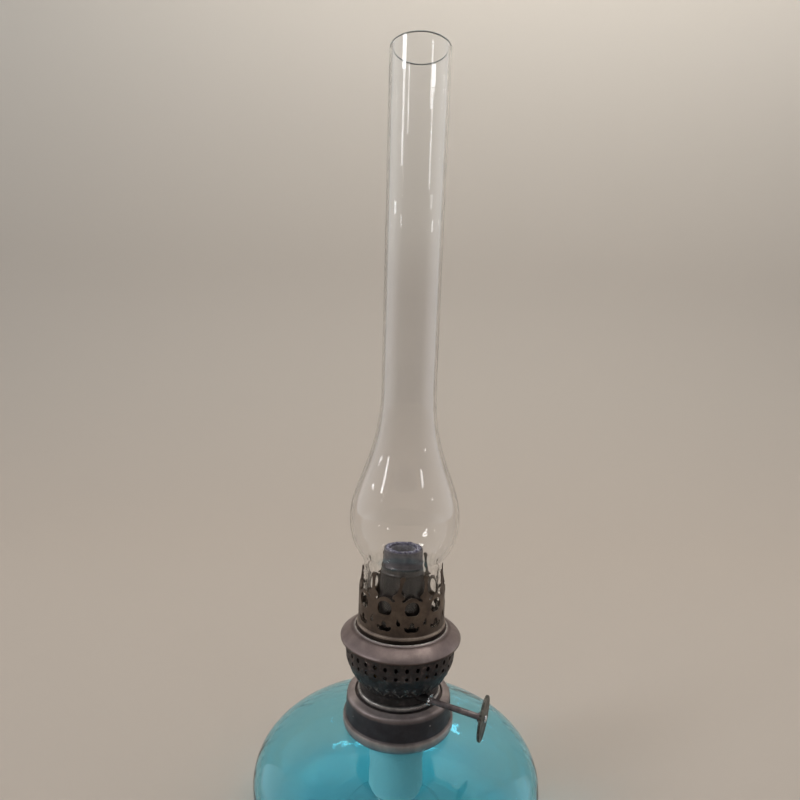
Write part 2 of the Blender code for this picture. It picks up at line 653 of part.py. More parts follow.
def window_outline():
    """Arched opening: a round arch that springs from sides that lean in to the sill."""
    half = WINDOW_WIDE / 2
    spring = WINDOW_LOW + WINDOW_SPRING_SHARE * WINDOW_TALL
    rise = WINDOW_LOW + WINDOW_TALL - spring
    arch = [(half * sin(turn), spring + rise * cos(turn))
            for turn in (pi / 2 * step / ARCH_STEPS for step in range(ARCH_STEPS + 1))]
    sill = half * WINDOW_SILL_SHARE
    return mirrored(arch + [(sill, WINDOW_LOW), (0, WINDOW_LOW)])


def scaled_outline(shares, wide, low, tall):
    return [(x * wide, low + y * tall) for x, y in shares]


def notch_outline():
    """What is taken away between two prongs, down to the arch over a window."""
    half_pitch = pi * CROWN_RADIUS / CROWN_PERIODS
    half = [(x * half_pitch, NOTCH_LOW + y * (CROWN_HEIGHT - NOTCH_LOW)) for x, y in NOTCH_OUTLINE_SHARES]
    return mirrored(half + [(half[-1][0], CROWN_HEIGHT + OVERRUN), (0, CROWN_HEIGHT + OVERRUN)])


def make_crown():
    inner = CROWN_RADIUS - CROWN_SHEET
    bead_low = CROWN_BASE + CROWN_SPIGOT_HEIGHT
    bead_top = bead_low + CROWN_BEAD_HEIGHT
    bead_round = (CROWN_BEAD_RADIUS - CROWN_RADIUS)
    spigot_inner = CROWN_SPIGOT_RADIUS - CROWN_SHEET
    outline = [(CROWN_RADIUS, CROWN_BASE + CROWN_HEIGHT), (CROWN_RADIUS, bead_top),
               (CROWN_BEAD_RADIUS, bead_top - bead_round), (CROWN_BEAD_RADIUS, bead_low + bead_round),
               (CROWN_RADIUS, bead_low), (CROWN_SPIGOT_RADIUS, bead_low),
               (CROWN_SPIGOT_RADIUS, CROWN_BASE), (spigot_inner, CROWN_BASE),
               (spigot_inner, bead_top), (CROWN_SEAT_RADIUS, bead_top),
               (CROWN_SEAT_RADIUS, CROWN_SEAT), (inner, CROWN_SEAT), (inner, CROWN_BASE + CROWN_HEIGHT)]
    crown = turned("crown_gallery", outline, CROWN_SIDES, DARK_BRASS, True)
    depth = 2 * OVERRUN
    window = flat_piece("window", [window_outline()], depth, None, None, CUTTERS)
    anchor_half = scaled_outline(ANCHOR_OUTLINE_SHARES, ANCHOR_WIDE, ANCHOR_LOW, ANCHOR_TALL)
    anchor = flat_piece("anchor", [mirrored(anchor_half)], depth, None, None, CUTTERS)
    tear_half = scaled_outline(TEAR_OUTLINE_SHARES, TEAR_WIDE, -TEAR_TALL / 2, TEAR_TALL)
    tear_place = Matrix.Translation((0, TEAR_LOW + TEAR_TALL / 2, 0))
    tears = [flat_piece("tear", [mirrored(tear_half)], depth, None, None, CUTTERS,
                        tear_place @ Matrix.Rotation(lean, 4, "Z")) for lean in (TEAR_LEAN, -TEAR_LEAN)]
    notch = flat_piece("notch", [notch_outline()], depth, None, None, CUTTERS)
    upright = Matrix.Rotation(pi / 2, 4, "X")
    outwards = Matrix.Translation((0, -CROWN_RADIUS, CROWN_BASE)) @ upright
    shapes = []
    for period in range(CROWN_PERIODS):
        turn = CROWN_TURN + pi / 2 + 2 * pi * period / CROWN_PERIODS
        between = turn + pi / CROWN_PERIODS
        shapes += [(piece, Matrix.Rotation(turn, 4, "Z") @ outwards) for piece in (window, anchor, notch)]
        shapes.append((tears[period % 2], Matrix.Rotation(between, 4, "Z") @ outwards))
    piercing = joined_cutter("crown_piercing", shapes)
    for piece in (window, anchor, notch, *tears):
        bpy.data.objects.remove(piece)
    combine(crown, piercing)

    bend_low = CROWN_BASE + NOTCH_LOW
    for vertex in crown.data.vertices:
        rise = (vertex.co.z - bend_low) / (CROWN_HEIGHT - NOTCH_LOW)
        if rise > 0:
            radius = hypot(vertex.co.x, vertex.co.y)
            vertex.co.xy *= 1 - PRONG_BEND * rise / radius


def make_tubes():
    """Outer tube, inner air tube with its closed foot, and the duct that joins them at the back."""
    tip = TUBE_TOP - WICK_TUBE_TIP_LENGTH
    belly_top = tip - WICK_TUBE_TAPER_LENGTH
    belly_low = TUBE_BASE + WICK_TUBE_BELLY_LOW
    path = [(WICK_TUBE_RADIUS, TUBE_TOP), (WICK_TUBE_RADIUS, tip), (WICK_TUBE_BELLY_RADIUS, belly_top),
            (WICK_TUBE_BELLY_RADIUS, belly_low), (WICK_TUBE_RADIUS, belly_low - WICK_TUBE_BELLY_TAPER),
            (WICK_TUBE_RADIUS, TUBE_BASE)]
    tube = pressed("wick_tube", path, WICK_TUBE_WALL, TUBE_SIDES, SOOTY_BRASS, BURNER_FRAME)

    air_path = [(AIR_TUBE_RADIUS, AIR_TUBE_TOP), (AIR_TUBE_RADIUS, AIR_TUBE_BASE), (0, AIR_TUBE_BASE)]
    inner = [(AIR_TUBE_RADIUS - AIR_TUBE_WALL, AIR_TUBE_TOP),
             (AIR_TUBE_RADIUS - AIR_TUBE_WALL, AIR_TUBE_BASE + AIR_TUBE_WALL),
             (0, AIR_TUBE_BASE + AIR_TUBE_WALL)]
    air_tube = turned("air_tube", inner[::-1] + air_path, TUBE_SIDES, PLAIN_BRASS, False, BURNER_FRAME)

    half = DUCT_WIDE / 2
    near = sqrt((AIR_TUBE_RADIUS - AIR_TUBE_WALL) ** 2 - (half + DUCT_SHEET) ** 2) - GAP
    far = WICK_TUBE_BELLY_RADIUS + GAP
    top = DUCT_BASE + DUCT_TALL
    duct = block("air_duct", (-half - DUCT_SHEET, near, DUCT_BASE - DUCT_SHEET),
                 (half + DUCT_SHEET, far, top + DUCT_SHEET), PLAIN_BRASS, BURNER_FRAME)
    hollow = block("duct_hollow", (-half, 0, DUCT_BASE), (half, far + OVERRUN, top), None,
                   BURNER_FRAME, CUTTERS)
    combine(duct, hollow)
    reach = half + DUCT_SHEET + GAP
    window = block("duct_window", (-reach, 0, DUCT_BASE - DUCT_SHEET - GAP),
                   (reach, far + OVERRUN, top + DUCT_SHEET + GAP), None, BURNER_FRAME, CUTTERS)
    combine(tube, window)
    combine(air_tube, window)

    for side in (-1, 1):
        slot_half = SPROCKET_THICKNESS / 2 + GAP
        slot = rod("feed_slot", side * SPROCKET_SPREAD - slot_half, side * SPROCKET_SPREAD + slot_half,
                   SPROCKET_RADIUS + GAP, SHAFT_SIDES, None, FEED_FRAME, CUTTERS)
        combine(tube, slot)


def wick_section(height):
    """Mean radius of the band and the half angle that its full width covers at a height."""
    flare_top = TUBE_BASE - WICK_FLARE_DROP
    fall = min(max((flare_top - height) / WICK_FLARE_LENGTH, 0), 1)
    ease = (1 - cos(pi * fall)) / 2
    radius = WICK_MEAN_RADIUS + (WICK_FLARE_RADIUS - WICK_MEAN_RADIUS) * ease
    half_width = pi * WICK_MEAN_RADIUS - WICK_SEAM / 2
    return radius, half_width / radius


def make_wick():
    """A sheet on rings of points, the middle of its width facing the feed wheels."""
    flare_top = TUBE_BASE - WICK_FLARE_DROP
    tail = KICK_FLOOR + WICK_TAIL_CLEARANCE
    heights = [WICK_TOP]
    heights += [flare_top - WICK_FLARE_LENGTH * step / 3 for step in range(4)]
    heights += [tail]
    work = bmesh.new()
    rows = []
    for height in heights:
        radius, half_angle = wick_section(height)
        row = []
        for column in range(WICK_COLUMNS + 1):
            turn = half_angle * (2 * column / WICK_COLUMNS - 1)
            row.append(work.verts.new((radius * sin(turn), -radius * cos(turn), height)))
        rows.append(row)
    for upper, lower in zip(rows, rows[1:]):
        for column in range(WICK_COLUMNS):
            work.faces.new((lower[column], lower[column + 1], upper[column + 1], upper[column]))
    mesh = bpy.data.meshes.new("wick")
    work.to_mesh(mesh)
    work.free()
    wick = place("wick", mesh, COTTON, BURNER_FRAME)
    body = wick.modifiers.new("thickness", "SOLIDIFY")
    body.thickness = WICK_THICKNESS
    body.offset = 0
    settle(wick)

    half = DUCT_WIDE / 2 + DUCT_SHEET + 2 * GAP
    notch_top = DUCT_BASE + DUCT_TALL + DUCT_SHEET + 2 * GAP + WICK_LOWERING
    notch_low = flare_top - WICK_FLARE_LENGTH / 2
    half_arch = [(0, notch_top + WICK_NOTCH_TAPER), (half, notch_top), (half, notch_low), (0, notch_low)]
    depth = 2 * (WICK_OUTER_RADIUS + OVERRUN)
    back = Matrix.Translation((0, depth / 2, 0)) @ Matrix.Rotation(pi / 2, 4, "X")
    parting = flat_piece("wick_parting", [mirrored(half_arch)], depth, None, BURNER_FRAME, CUTTERS, back)
    combine(wick, parting)


def sprocket_outline():
    points = []
    for tooth in range(SPROCKET_TEETH):
        middle = 2 * pi * tooth / SPROCKET_TEETH
        pitch = 2 * pi / SPROCKET_TEETH
        for share, radius in ((-1 / 3, SPROCKET_ROOT_RADIUS), (-TOOTH_TIP_SHARE / 2, SPROCKET_RADIUS),
                              (TOOTH_TIP_SHARE / 2, SPROCKET_RADIUS), (1 / 3, SPROCKET_ROOT_RADIUS)):
            turn = middle + share * pitch
            points.append((radius * cos(turn), radius * sin(turn)))
    return points


def ring_points(radius, sides):
    return [(radius * cos(2 * pi * step / sides), radius * sin(2 * pi * step / sides))
            for step in range(sides)]


def across(distance):
    """From a flat outline's plane to a disc square to the feed axis, a distance along it."""
    return Matrix.Translation((distance, 0, 0)) @ Matrix.Rotation(pi / 2, 4, "Y")


def make_feed():
    wheel_inner = SHAFT_REACH - THUMB_WHEEL_THICKNESS / 2
    wheel_outer = SHAFT_REACH + THUMB_WHEEL_THICKNESS / 2
    shaft = rod("feed_shaft", -SHAFT_TAIL, wheel_inner - GAP, SHAFT_RADIUS, SHAFT_SIDES, STEEL_BROWN,
                FEED_FRAME)
    spigot = rod("spigot", 0, wheel_outer, SPIGOT_RADIUS, SHAFT_SIDES, None, FEED_FRAME, CUTTERS)
    combine(shaft, spigot, "UNION")

    for side, name in ((-1, "feed_wheel_inner"), (1, "feed_wheel_outer")):
        loops = [sprocket_outline(), ring_points(SHAFT_BORE, SHAFT_SIDES)]
        flat_piece(name, loops, SPROCKET_THICKNESS, STEEL_BROWN, FEED_FRAME,
                   matrix=across(side * SPROCKET_SPREAD))

    fluted = []
    for step in range(2 * THUMB_WHEEL_FLUTES):
        radius = THUMB_WHEEL_RADIUS - THUMB_WHEEL_FLUTE_DEPTH * (step % 2)
        turn = pi * step / THUMB_WHEEL_FLUTES
        fluted.append((radius * cos(turn), radius * sin(turn)))
    flat_piece("thumb_wheel", [fluted, ring_points(SPIGOT_RADIUS + GAP, SHAFT_SIDES)],
               THUMB_WHEEL_THICKNESS, STEEL_BROWN, FEED_FRAME, matrix=across(SHAFT_REACH))

    hub = rod("wheel_hub", wheel_inner - GAP - HUB_LENGTH, wheel_inner - GAP, HUB_RADIUS, SHAFT_SIDES,
              STEEL_BROWN, FEED_FRAME)
    bore = rod("hub_bore", 0, SHAFT_REACH, SHAFT_BORE, SHAFT_SIDES, None, FEED_FRAME, CUTTERS)
    combine(hub, bore)

    dome = [(0, RIVET_HEIGHT)] + bezier((0, RIVET_HEIGHT), (RIVET_RADIUS / 2, RIVET_HEIGHT),
                                        (RIVET_RADIUS, RIVET_HEIGHT / 2), (RIVET_RADIUS, 0), 3)
    rivet = turned("wheel_rivet", dome + [(0, 0)], SHAFT_SIDES, STEEL_BROWN, False, FEED_FRAME)
    rivet.matrix_local = across(wheel_outer + GAP)

    neck = sqrt(BASKET_NECK_RADIUS ** 2 - FEED_OFFSET ** 2) / cos(FEED_DROOP)
    bush = rod("shaft_bush", neck - BUSH_LENGTH / 2, neck + BUSH_LENGTH / 2, BUSH_RADIUS, SHAFT_SIDES,
               PLAIN_BRASS, FEED_FRAME)
    bore = rod("bush_bore", 0, SHAFT_REACH, SHAFT_BORE, SHAFT_SIDES, None, FEED_FRAME, CUTTERS)
    combine(bush, bore)

    top = FEED_HEIGHT + BRACKET_PLACE * tan(FEED_DROOP) + SHAFT_BORE + BRACKET_THICKNESS
    place_x = -BRACKET_PLACE
    near = -FEED_OFFSET - BRACKET_HALF_WIDTH
    far = -FEED_OFFSET + BRACKET_HALF_WIDTH
    foot_low = PLATE_TOP + GAP
    bracket = block("shaft_bracket", (place_x - BRACKET_THICKNESS, near, foot_low), (place_x, far, top),
                    PLAIN_BRASS, BURNER_FRAME)
    foot = block("bracket_foot", (place_x - BRACKET_THICKNESS / 2, near, foot_low),
                 (place_x + BRACKET_FOOT, far, foot_low + BRACKET_THICKNESS), None, BURNER_FRAME, CUTTERS)
    combine(bracket, foot, "UNION")
    bore = rod("bracket_bore", -BASKET_RADIUS, 0, SHAFT_BORE, SHAFT_SIDES, None, FEED_FRAME, CUTTERS)
    combine(bracket, bore)


def chimney_outline():
    """Outer wall from the top rim down to the foot."""
    base = CHIMNEY_BASE
    top = (CHIMNEY_TOP_RADIUS, base + CHIMNEY_HEIGHT)
    waist = (CHIMNEY_WAIST_RADIUS, base + CHIMNEY_WAIST_HEIGHT)
    bulb = (CHIMNEY_BULB_RADIUS, base + CHIMNEY_BULB_HEIGHT)
    neck = (CHIMNEY_FOOT_RADIUS, base + CHIMNEY_FOOT_HEIGHT)
    flue = top[1] - waist[1]
    shoulder = waist[1] - bulb[1]
    under = bulb[1] - neck[1]
    swell = CHIMNEY_BULB_RADIUS - CHIMNEY_FOOT_RADIUS
    path = [top]
    path += bezier(top, (top[0] - (top[0] - waist[0]) / 3, top[1] - FLUE_FLARE_SHARE * flue),
                   (waist[0], waist[1] + FLUE_STRAIGHT_SHARE * flue), waist, 2)
    path += bezier(waist, (waist[0], waist[1] - BULB_WAIST_SHARE * shoulder),
                   (bulb[0], bulb[1] + BULB_SHOULDER_SHARE * shoulder), bulb, 6)
    path += bezier(bulb, (bulb[0], bulb[1] - BULB_UNDER_END_SHARE * under),
                   (neck[0] + BULB_UNDER_OUT_SHARE * swell, neck[1] + BULB_UNDER_RISE_SHARE * under),
                   neck, 4)
    path += [(CHIMNEY_FOOT_RADIUS, base)]
    return path


def make_chimney():
    return pressed("chimney", chimney_outline(), CHIMNEY_WALL, CHIMNEY_SIDES, GLASS_CLEAR)


make_fount()
make_plaster()
make_collar()
make_burner_base()
make_basket()
make_flange()
make_crown()
make_tubes()
make_wick()
make_feed()
make_chimney()

print("lamp height mm", round((CHIMNEY_BASE + CHIMNEY_HEIGHT) / MM, 1))
print("shaft starts at", tuple(round(value / MM, 2) for value in FEED_MATRIX @ Vector((0, 0, 0))))
print("shaft points along", tuple(round(value, 5) for value in FEED_MATRIX.to_3x3() @ Vector((1, 0, 0))))
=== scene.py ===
"""Glass kerosene lamp: the looks of its glass, patinated brass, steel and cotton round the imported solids."""

from math import asin, atan2, cos, hypot, pi, radians, sin, tau

import bmesh
import bpy
from mathutils import Matrix, Vector, noise


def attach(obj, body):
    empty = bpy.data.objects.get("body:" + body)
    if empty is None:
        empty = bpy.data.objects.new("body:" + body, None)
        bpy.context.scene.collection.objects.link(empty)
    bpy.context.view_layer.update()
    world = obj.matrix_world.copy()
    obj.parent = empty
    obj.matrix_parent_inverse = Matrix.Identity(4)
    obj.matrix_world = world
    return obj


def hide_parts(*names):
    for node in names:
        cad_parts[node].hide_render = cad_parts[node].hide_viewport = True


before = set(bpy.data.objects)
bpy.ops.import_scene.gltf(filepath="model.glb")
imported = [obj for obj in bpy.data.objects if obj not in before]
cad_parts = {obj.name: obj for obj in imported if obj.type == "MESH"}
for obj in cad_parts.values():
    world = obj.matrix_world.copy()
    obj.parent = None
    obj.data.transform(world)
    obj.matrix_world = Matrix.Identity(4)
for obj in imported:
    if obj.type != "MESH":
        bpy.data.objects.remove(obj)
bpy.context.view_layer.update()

MM = 0.001
WELD = 0.002 * MM
SHARP = radians(38)

# Camera, worked out from the rings of the lamp as the photograph shows them
CAMERA_PLACE = (0.0, -320 * MM, 268 * MM)
CAMERA_PITCH = radians(3.262)
CAMERA_YAW = radians(-0.883)
CAMERA_ROLL = radians(1.928)
CAMERA_LENS = 25.299
SENSOR = 36.0

# Heights where pieces stand on each other, and the radii that they share
FOUNT_SHOULDER = 61.6 * MM
NECK_TOP = 72.9 * MM
COLLAR_BASE = 62.2 * MM
COLLAR_TOP = 80.7 * MM
CUP_BASE = 79.5 * MM
CUP_TOP = 83.0 * MM
BASKET_BASE = 83.3 * MM
BASKET_TOP = 117.3 * MM
FLANGE_FLOOR = 118.3 * MM
CROWN_BASE = 118.6 * MM
CROWN_RADIUS = 25.0 * MM
CROWN_TURN = radians(284)
CROWN_PERIODS = 10
BASKET_COLUMNS = 34
BASKET_TURN = radians(-3.1)
TUBE_BASE = 81.3 * MM
TUBE_TOP = 164.2 * MM
WICK_TOP = 165.7 * MM
CHIMNEY_BASE = 123.6 * MM
TUBE_RADIUS = 11.35 * MM
WICK_RADIUS = 9.2 * MM
FEED_ORIGIN = Vector((-5.05, -13.16, 88.69)) * MM
FEED_AZIMUTH = radians(-21)
FEED_DROOP = radians(4.06)
FEED_REACH = 53.94 * MM
FEED_MATRIX = (Matrix.Translation(FEED_ORIGIN) @ Matrix.Rotation(FEED_AZIMUTH, 4, "Z")
               @ Matrix.Rotation(FEED_DROOP, 4, "Y"))
BURNER_TURN = Matrix.Rotation(FEED_AZIMUTH, 4, "Z")


# Nodes and materials
def linear(code):
    """Linear colour of an sRGB hex value."""
    parts = [int(code[i:i + 2], 16) / 255 for i in (1, 3, 5)]
    return tuple(c / 12.92 if c <= 0.04045 else ((c + 0.055) / 1.055) ** 2.4 for c in parts) + (1.0,)


def node(tree, kind, settings=None, inputs=None):
    """Add a node, give it its settings, and set or link its inputs. stops are a ramp's colours."""
    made = tree.nodes.new(kind)
    for key, value in (settings or {}).items():
        if key == "stops":
            band = made.color_ramp.elements
            while len(band) < len(value):
                band.new(0.5)
            for stop, (place, colour) in zip(band, value):
                stop.position = place
                stop.color = colour
        else:
            setattr(made, key, value)
    for key, value in (inputs or {}).items():
        if isinstance(value, bpy.types.NodeSocket):
            tree.links.new(value, made.inputs[key])
        else:
            made.inputs[key].default_value = value
    return made


def grey(value):
    return (value, value, value, 1.0)


def new_finish(name, settings):
    """A material with its shader's constants set on the shader itself."""
    made = bpy.data.materials.new(name)
    made.use_nodes = True
    shader = made.node_tree.nodes["Principled BSDF"]
    for key, value in settings.items():
        shader.inputs[key].default_value = value
    return made, made.node_tree, shader


def place_on(tree, scale=(1, 1, 1)):
    """Object coordinates, stretched where a pattern runs one way."""
    coords = node(tree, "ShaderNodeTexCoord")
    return node(tree, "ShaderNodeMapping", None, {"Vector": coords.outputs["Object"], "Scale": scale}).outputs[0]


def per_metre(size):
    """Noise scale for a pattern of a given real size."""
    return 1 / size


def let_light_through(tree, shader, tint):
    """Lamps shine straight through the wall, in its colour, onto what stands inside and behind it."""
    ray = node(tree, "ShaderNodeLightPath")
    passing = node(tree, "ShaderNodeBsdfTransparent", None, {"Color": tint})
    mixed = node(tree, "ShaderNodeMixShader", None, {"Fac": ray.outputs["Is Shadow Ray"]})
    tree.links.new(shader.outputs[0], mixed.inputs[1])
    tree.links.new(passing.outputs[0], mixed.inputs[2])
    tree.links.new(mixed.outputs[0], tree.nodes["Material Output"].inputs["Surface"])


def blown_turquoise_glass():
    """Soda-lime glass coloured with copper, blown in a mould: even turquoise, deeper where the wall is
    seen edge on, with slow ripples that bend what lies behind."""
    made, tree, shader = new_finish("blown_turquoise_glass", {
        "Base Color": linear("#f2feff"), "Roughness": 0.015, "IOR": 1.5, "Transmission Weight": 1.0})
    where = place_on(tree)
    ripple = node(tree, "ShaderNodeTexNoise", None, {
        "Vector": where, "Scale": per_metre(20 * MM), "Detail": 2.0, "Roughness": 0.5})
    bump = node(tree, "ShaderNodeBump", None, {
        "Strength": 0.5, "Distance": 1.0 * MM, "Height": ripple.outputs[0]})
    tree.links.new(bump.outputs[0], shader.inputs["Normal"])
    depth = node(tree, "ShaderNodeVolumeAbsorption", None, {"Color": (0.08, 0.79, 0.93, 1.0), "Density": 170.0})
    tree.links.new(depth.outputs[0], tree.nodes["Material Output"].inputs["Volume"])
    let_light_through(tree, shader, linear("#f4feff"))
    return made


def clear_lamp_glass():
    """Clear drawn glass with a trace of iron: nearly colourless, smoky where seen edge on, and a little greyer
    along the lower flue."""
    made, tree, shader = new_finish("clear_lamp_glass", {
        "Roughness": 0.01, "IOR": 1.47, "Transmission Weight": 1.0})
    coords = place_on(tree)
    level = node(tree, "ShaderNodeSeparateXYZ", None, {"Vector": coords})
    share = node(tree, "ShaderNodeMapRange", None, {
        "Value": level.outputs["Z"], "From Min": 120 * MM, "From Max": 440 * MM})
    # A little greyer along the lower flue, nearly clear at the foot and near the mouth
    lower_flue_grey = node(tree, "ShaderNodeValToRGB", {"stops": [
        (0.0, linear("#fefefd")), (0.25, linear("#faf9f9")), (0.42, linear("#f4f3f3")),
        (0.58, linear("#f6f5f5")), (0.72, linear("#fefefe"))]}, {"Fac": share.outputs[0]})
    tree.links.new(lower_flue_grey.outputs[0], shader.inputs["Base Color"])
    where = place_on(tree, (1, 1, 0.25))
    ripple = node(tree, "ShaderNodeTexNoise", None, {
        "Vector": where, "Scale": per_metre(14 * MM), "Detail": 1.0, "Roughness": 0.4})
    bump = node(tree, "ShaderNodeBump", None, {
        "Strength": 0.18, "Distance": 0.5 * MM, "Height": ripple.outputs[0]})
    tree.links.new(bump.outputs[0], shader.inputs["Normal"])
    depth = node(tree, "ShaderNodeVolumeAbsorption", None, {"Color": (0.80, 0.83, 0.81, 1.0), "Density": 22.0})
    tree.links.new(depth.outputs[0], tree.nodes["Material Output"].inputs["Volume"])
    let_light_through(tree, shader, grey(0.95))
    return made


def melted_lip_and_shade():
    """The chimney's mouth, melted round in the flame, its glass painted grey: painted shade that makes the thick edge
    look dark against a pale wall.
    """
    made, tree, shader = new_finish("melted_lip_and_shade", {"Roughness": 0.08, "IOR": 1.47, "Transmission Weight": 1.0})
    where = place_on(tree)
    waves = node(tree, "ShaderNodeTexNoise", None, {
        "Vector": where, "Scale": per_metre(6 * MM), "Detail": 2.0, "Roughness": 0.5})
    # Painted shade: the lip glass is painted grey so that the thick edge looks dark
    shade = node(tree, "ShaderNodeValToRGB", {"stops": [
        (0.35, linear("#8b8e89")), (0.65, linear("#b9bcb8"))]}, {"Fac": waves.outputs[0]})
    tree.links.new(shade.outputs[0], shader.inputs["Base Color"])
    return made


def ground_rim_and_highlight():
    """The chimney's ground lip: frosted, and painted pale as a painted highlight for the light that runs down the
    wall.
    """
    made, tree, shader = new_finish("ground_rim_and_highlight", {
        "Roughness": 0.45, "IOR": 1.47, "Transmission Weight": 0.55})
    where = place_on(tree)
    grit = node(tree, "ShaderNodeTexNoise", None, {
        "Vector": where, "Scale": per_metre(0.8 * MM), "Detail": 3.0, "Roughness": 0.6})
    # Painted highlight: a pale whitish colour on the rim, standing for the light piped down the glass
    frost_and_highlight = node(tree, "ShaderNodeValToRGB", {"stops": [
        (0.3, linear("#c9cfcc")), (0.7, linear("#f2f5f3"))]}, {"Fac": grit.outputs[0]})
    tree.links.new(frost_and_highlight.outputs[0], shader.inputs["Base Color"])
    return made


def patinated_metal(name, colours, metallic, rough, blotch, grain, dents, nicks, tones=()):
    """Thin metal under a chemical patina: cloudy blotches, a fine grain of pits and a few pale nicks.
    dents give the width and depth of the sheet's unevenness and how much lighter its high spots are painted, as rubbed
    wear and a painted highlight.
    tones are the (height, shade) pairs that make a level lighter or darker: mostly painted light and shade by height,
    with some real soot and heat colour."""
    made, tree, shader = new_finish(name, {"Metallic": metallic})
    where = place_on(tree)
    clouds = node(tree, "ShaderNodeTexNoise", None, {
        "Vector": where, "Scale": per_metre(blotch), "Detail": 5.0, "Roughness": 0.6})
    stops = [(place, linear(colour)) for place, colour in zip((0.32, 0.52, 0.72), colours)]
    patina = node(tree, "ShaderNodeValToRGB", {"stops": stops}, {"Fac": clouds.outputs[0]})
    pits = node(tree, "ShaderNodeTexNoise", None, {
        "Vector": where, "Scale": per_metre(grain), "Detail": 3.0, "Roughness": 0.7})
    speck = node(tree, "ShaderNodeMapRange", None, {
        "Value": pits.outputs[0], "From Min": 0.35, "From Max": 0.7, "To Min": 0.92, "To Max": 1.06})
    wide, deep, rub_and_highlight = dents
    uneven = node(tree, "ShaderNodeTexNoise", None, {
        "Vector": where, "Scale": per_metre(wide), "Detail": 2.0, "Roughness": 0.5})
    # High spots painted lighter: rubbed wear and a painted highlight
    worn_and_highlit = node(tree, "ShaderNodeMapRange", None, {
        "Value": uneven.outputs[0], "From Min": 0.52, "From Max": 0.72, "To Min": 1.0, "To Max": rub_and_highlight})
    shade = node(tree, "ShaderNodeMath", {"operation": "MULTIPLY"}, {0: speck.outputs[0], 1: worn_and_highlit.outputs[0]})
    colour = node(tree, "ShaderNodeMix", {"data_type": "RGBA", "blend_type": "MULTIPLY"}, {"Factor": 1.0})
    tree.links.new(patina.outputs[0], colour.inputs["A"])
    tree.links.new(shade.outputs[0], colour.inputs["B"])
    # Painted light and shade by height: bands lighter where light falls, darker where shade falls
    if tones:
        level = node(tree, "ShaderNodeSeparateXYZ", None, {"Vector": where})
        low, high = tones[0][0], tones[-1][0]
        share = node(tree, "ShaderNodeMapRange", None, {
            "Value": level.outputs["Z"], "From Min": low, "From Max": high})
        stops = [((place - low) / (high - low), linear(shade)) for place, shade in tones]
        tone = node(tree, "ShaderNodeValToRGB", {"stops": stops}, {"Fac": share.outputs[0]})
        toned = node(tree, "ShaderNodeMix", {"data_type": "RGBA", "blend_type": "MULTIPLY"}, {"Factor": 1.0})
        tree.links.new(colour.outputs["Result"], toned.inputs["A"])
        tree.links.new(tone.outputs[0], toned.inputs["B"])
        colour = toned
    if nicks:
        cells = node(tree, "ShaderNodeTexVoronoi", None, {"Vector": where, "Scale": per_metre(6 * MM)})
        spread = node(tree, "ShaderNodeSeparateColor", None, {"Color": cells.outputs["Color"]})
        size = node(tree, "ShaderNodeMapRange", None, {
            "Value": spread.outputs[0], "From Min": 1 - 0.3 * nicks, "From Max": 1.0, "To Max": 0.11})
        nick = node(tree, "ShaderNodeMath", {"operation": "LESS_THAN"}, {
            0: cells.outputs["Distance"], 1: size.outputs[0]})
        bare = node(tree, "ShaderNodeMix", {"data_type": "RGBA"}, {
            "Factor": nick.outputs[0], "B": linear("#a9a39f")})
        tree.links.new(colour.outputs["Result"], bare.inputs["A"])
        colour = bare
    tree.links.new(colour.outputs["Result"], shader.inputs["Base Color"])
    gloss = node(tree, "ShaderNodeMapRange", None, {
        "Value": clouds.outputs[0], "From Min": 0.3, "From Max": 0.7,
        "To Min": rough + 0.08, "To Max": rough - 0.06})
    tree.links.new(gloss.outputs[0], shader.inputs["Roughness"])
    bump = node(tree, "ShaderNodeBump", None, {
        "Strength": 0.2, "Distance": 0.04 * MM, "Height": pits.outputs[0]})
    beaten = node(tree, "ShaderNodeBump", None, {
        "Strength": 1.0, "Distance": deep, "Height": uneven.outputs[0], "Normal": bump.outputs[0]})
    tree.links.new(beaten.outputs[0], shader.inputs["Normal"])
    return made


def old_lime_plaster():
    """Lime plaster of the collar's seat: chalky, off-white, a little crumbly."""
    made, tree, shader = new_finish("old_lime_plaster", {"Roughness": 0.92})
    where = place_on(tree)
    crumbs = node(tree, "ShaderNodeTexNoise", None, {
        "Vector": where, "Scale": per_metre(1.5 * MM), "Detail": 5.0, "Roughness": 0.65})
    colours = node(tree, "ShaderNodeValToRGB", {"stops": [
        (0.35, linear("#a39c8d")), (0.65, linear("#cdc7b9"))]}, {"Fac": crumbs.outputs[0]})
    tree.links.new(colours.outputs[0], shader.inputs["Base Color"])
    bump = node(tree, "ShaderNodeBump", None, {"Strength": 0.6, "Distance": 0.3 * MM, "Height": crumbs.outputs[0]})
    tree.links.new(bump.outputs[0], shader.inputs["Normal"])
    return made


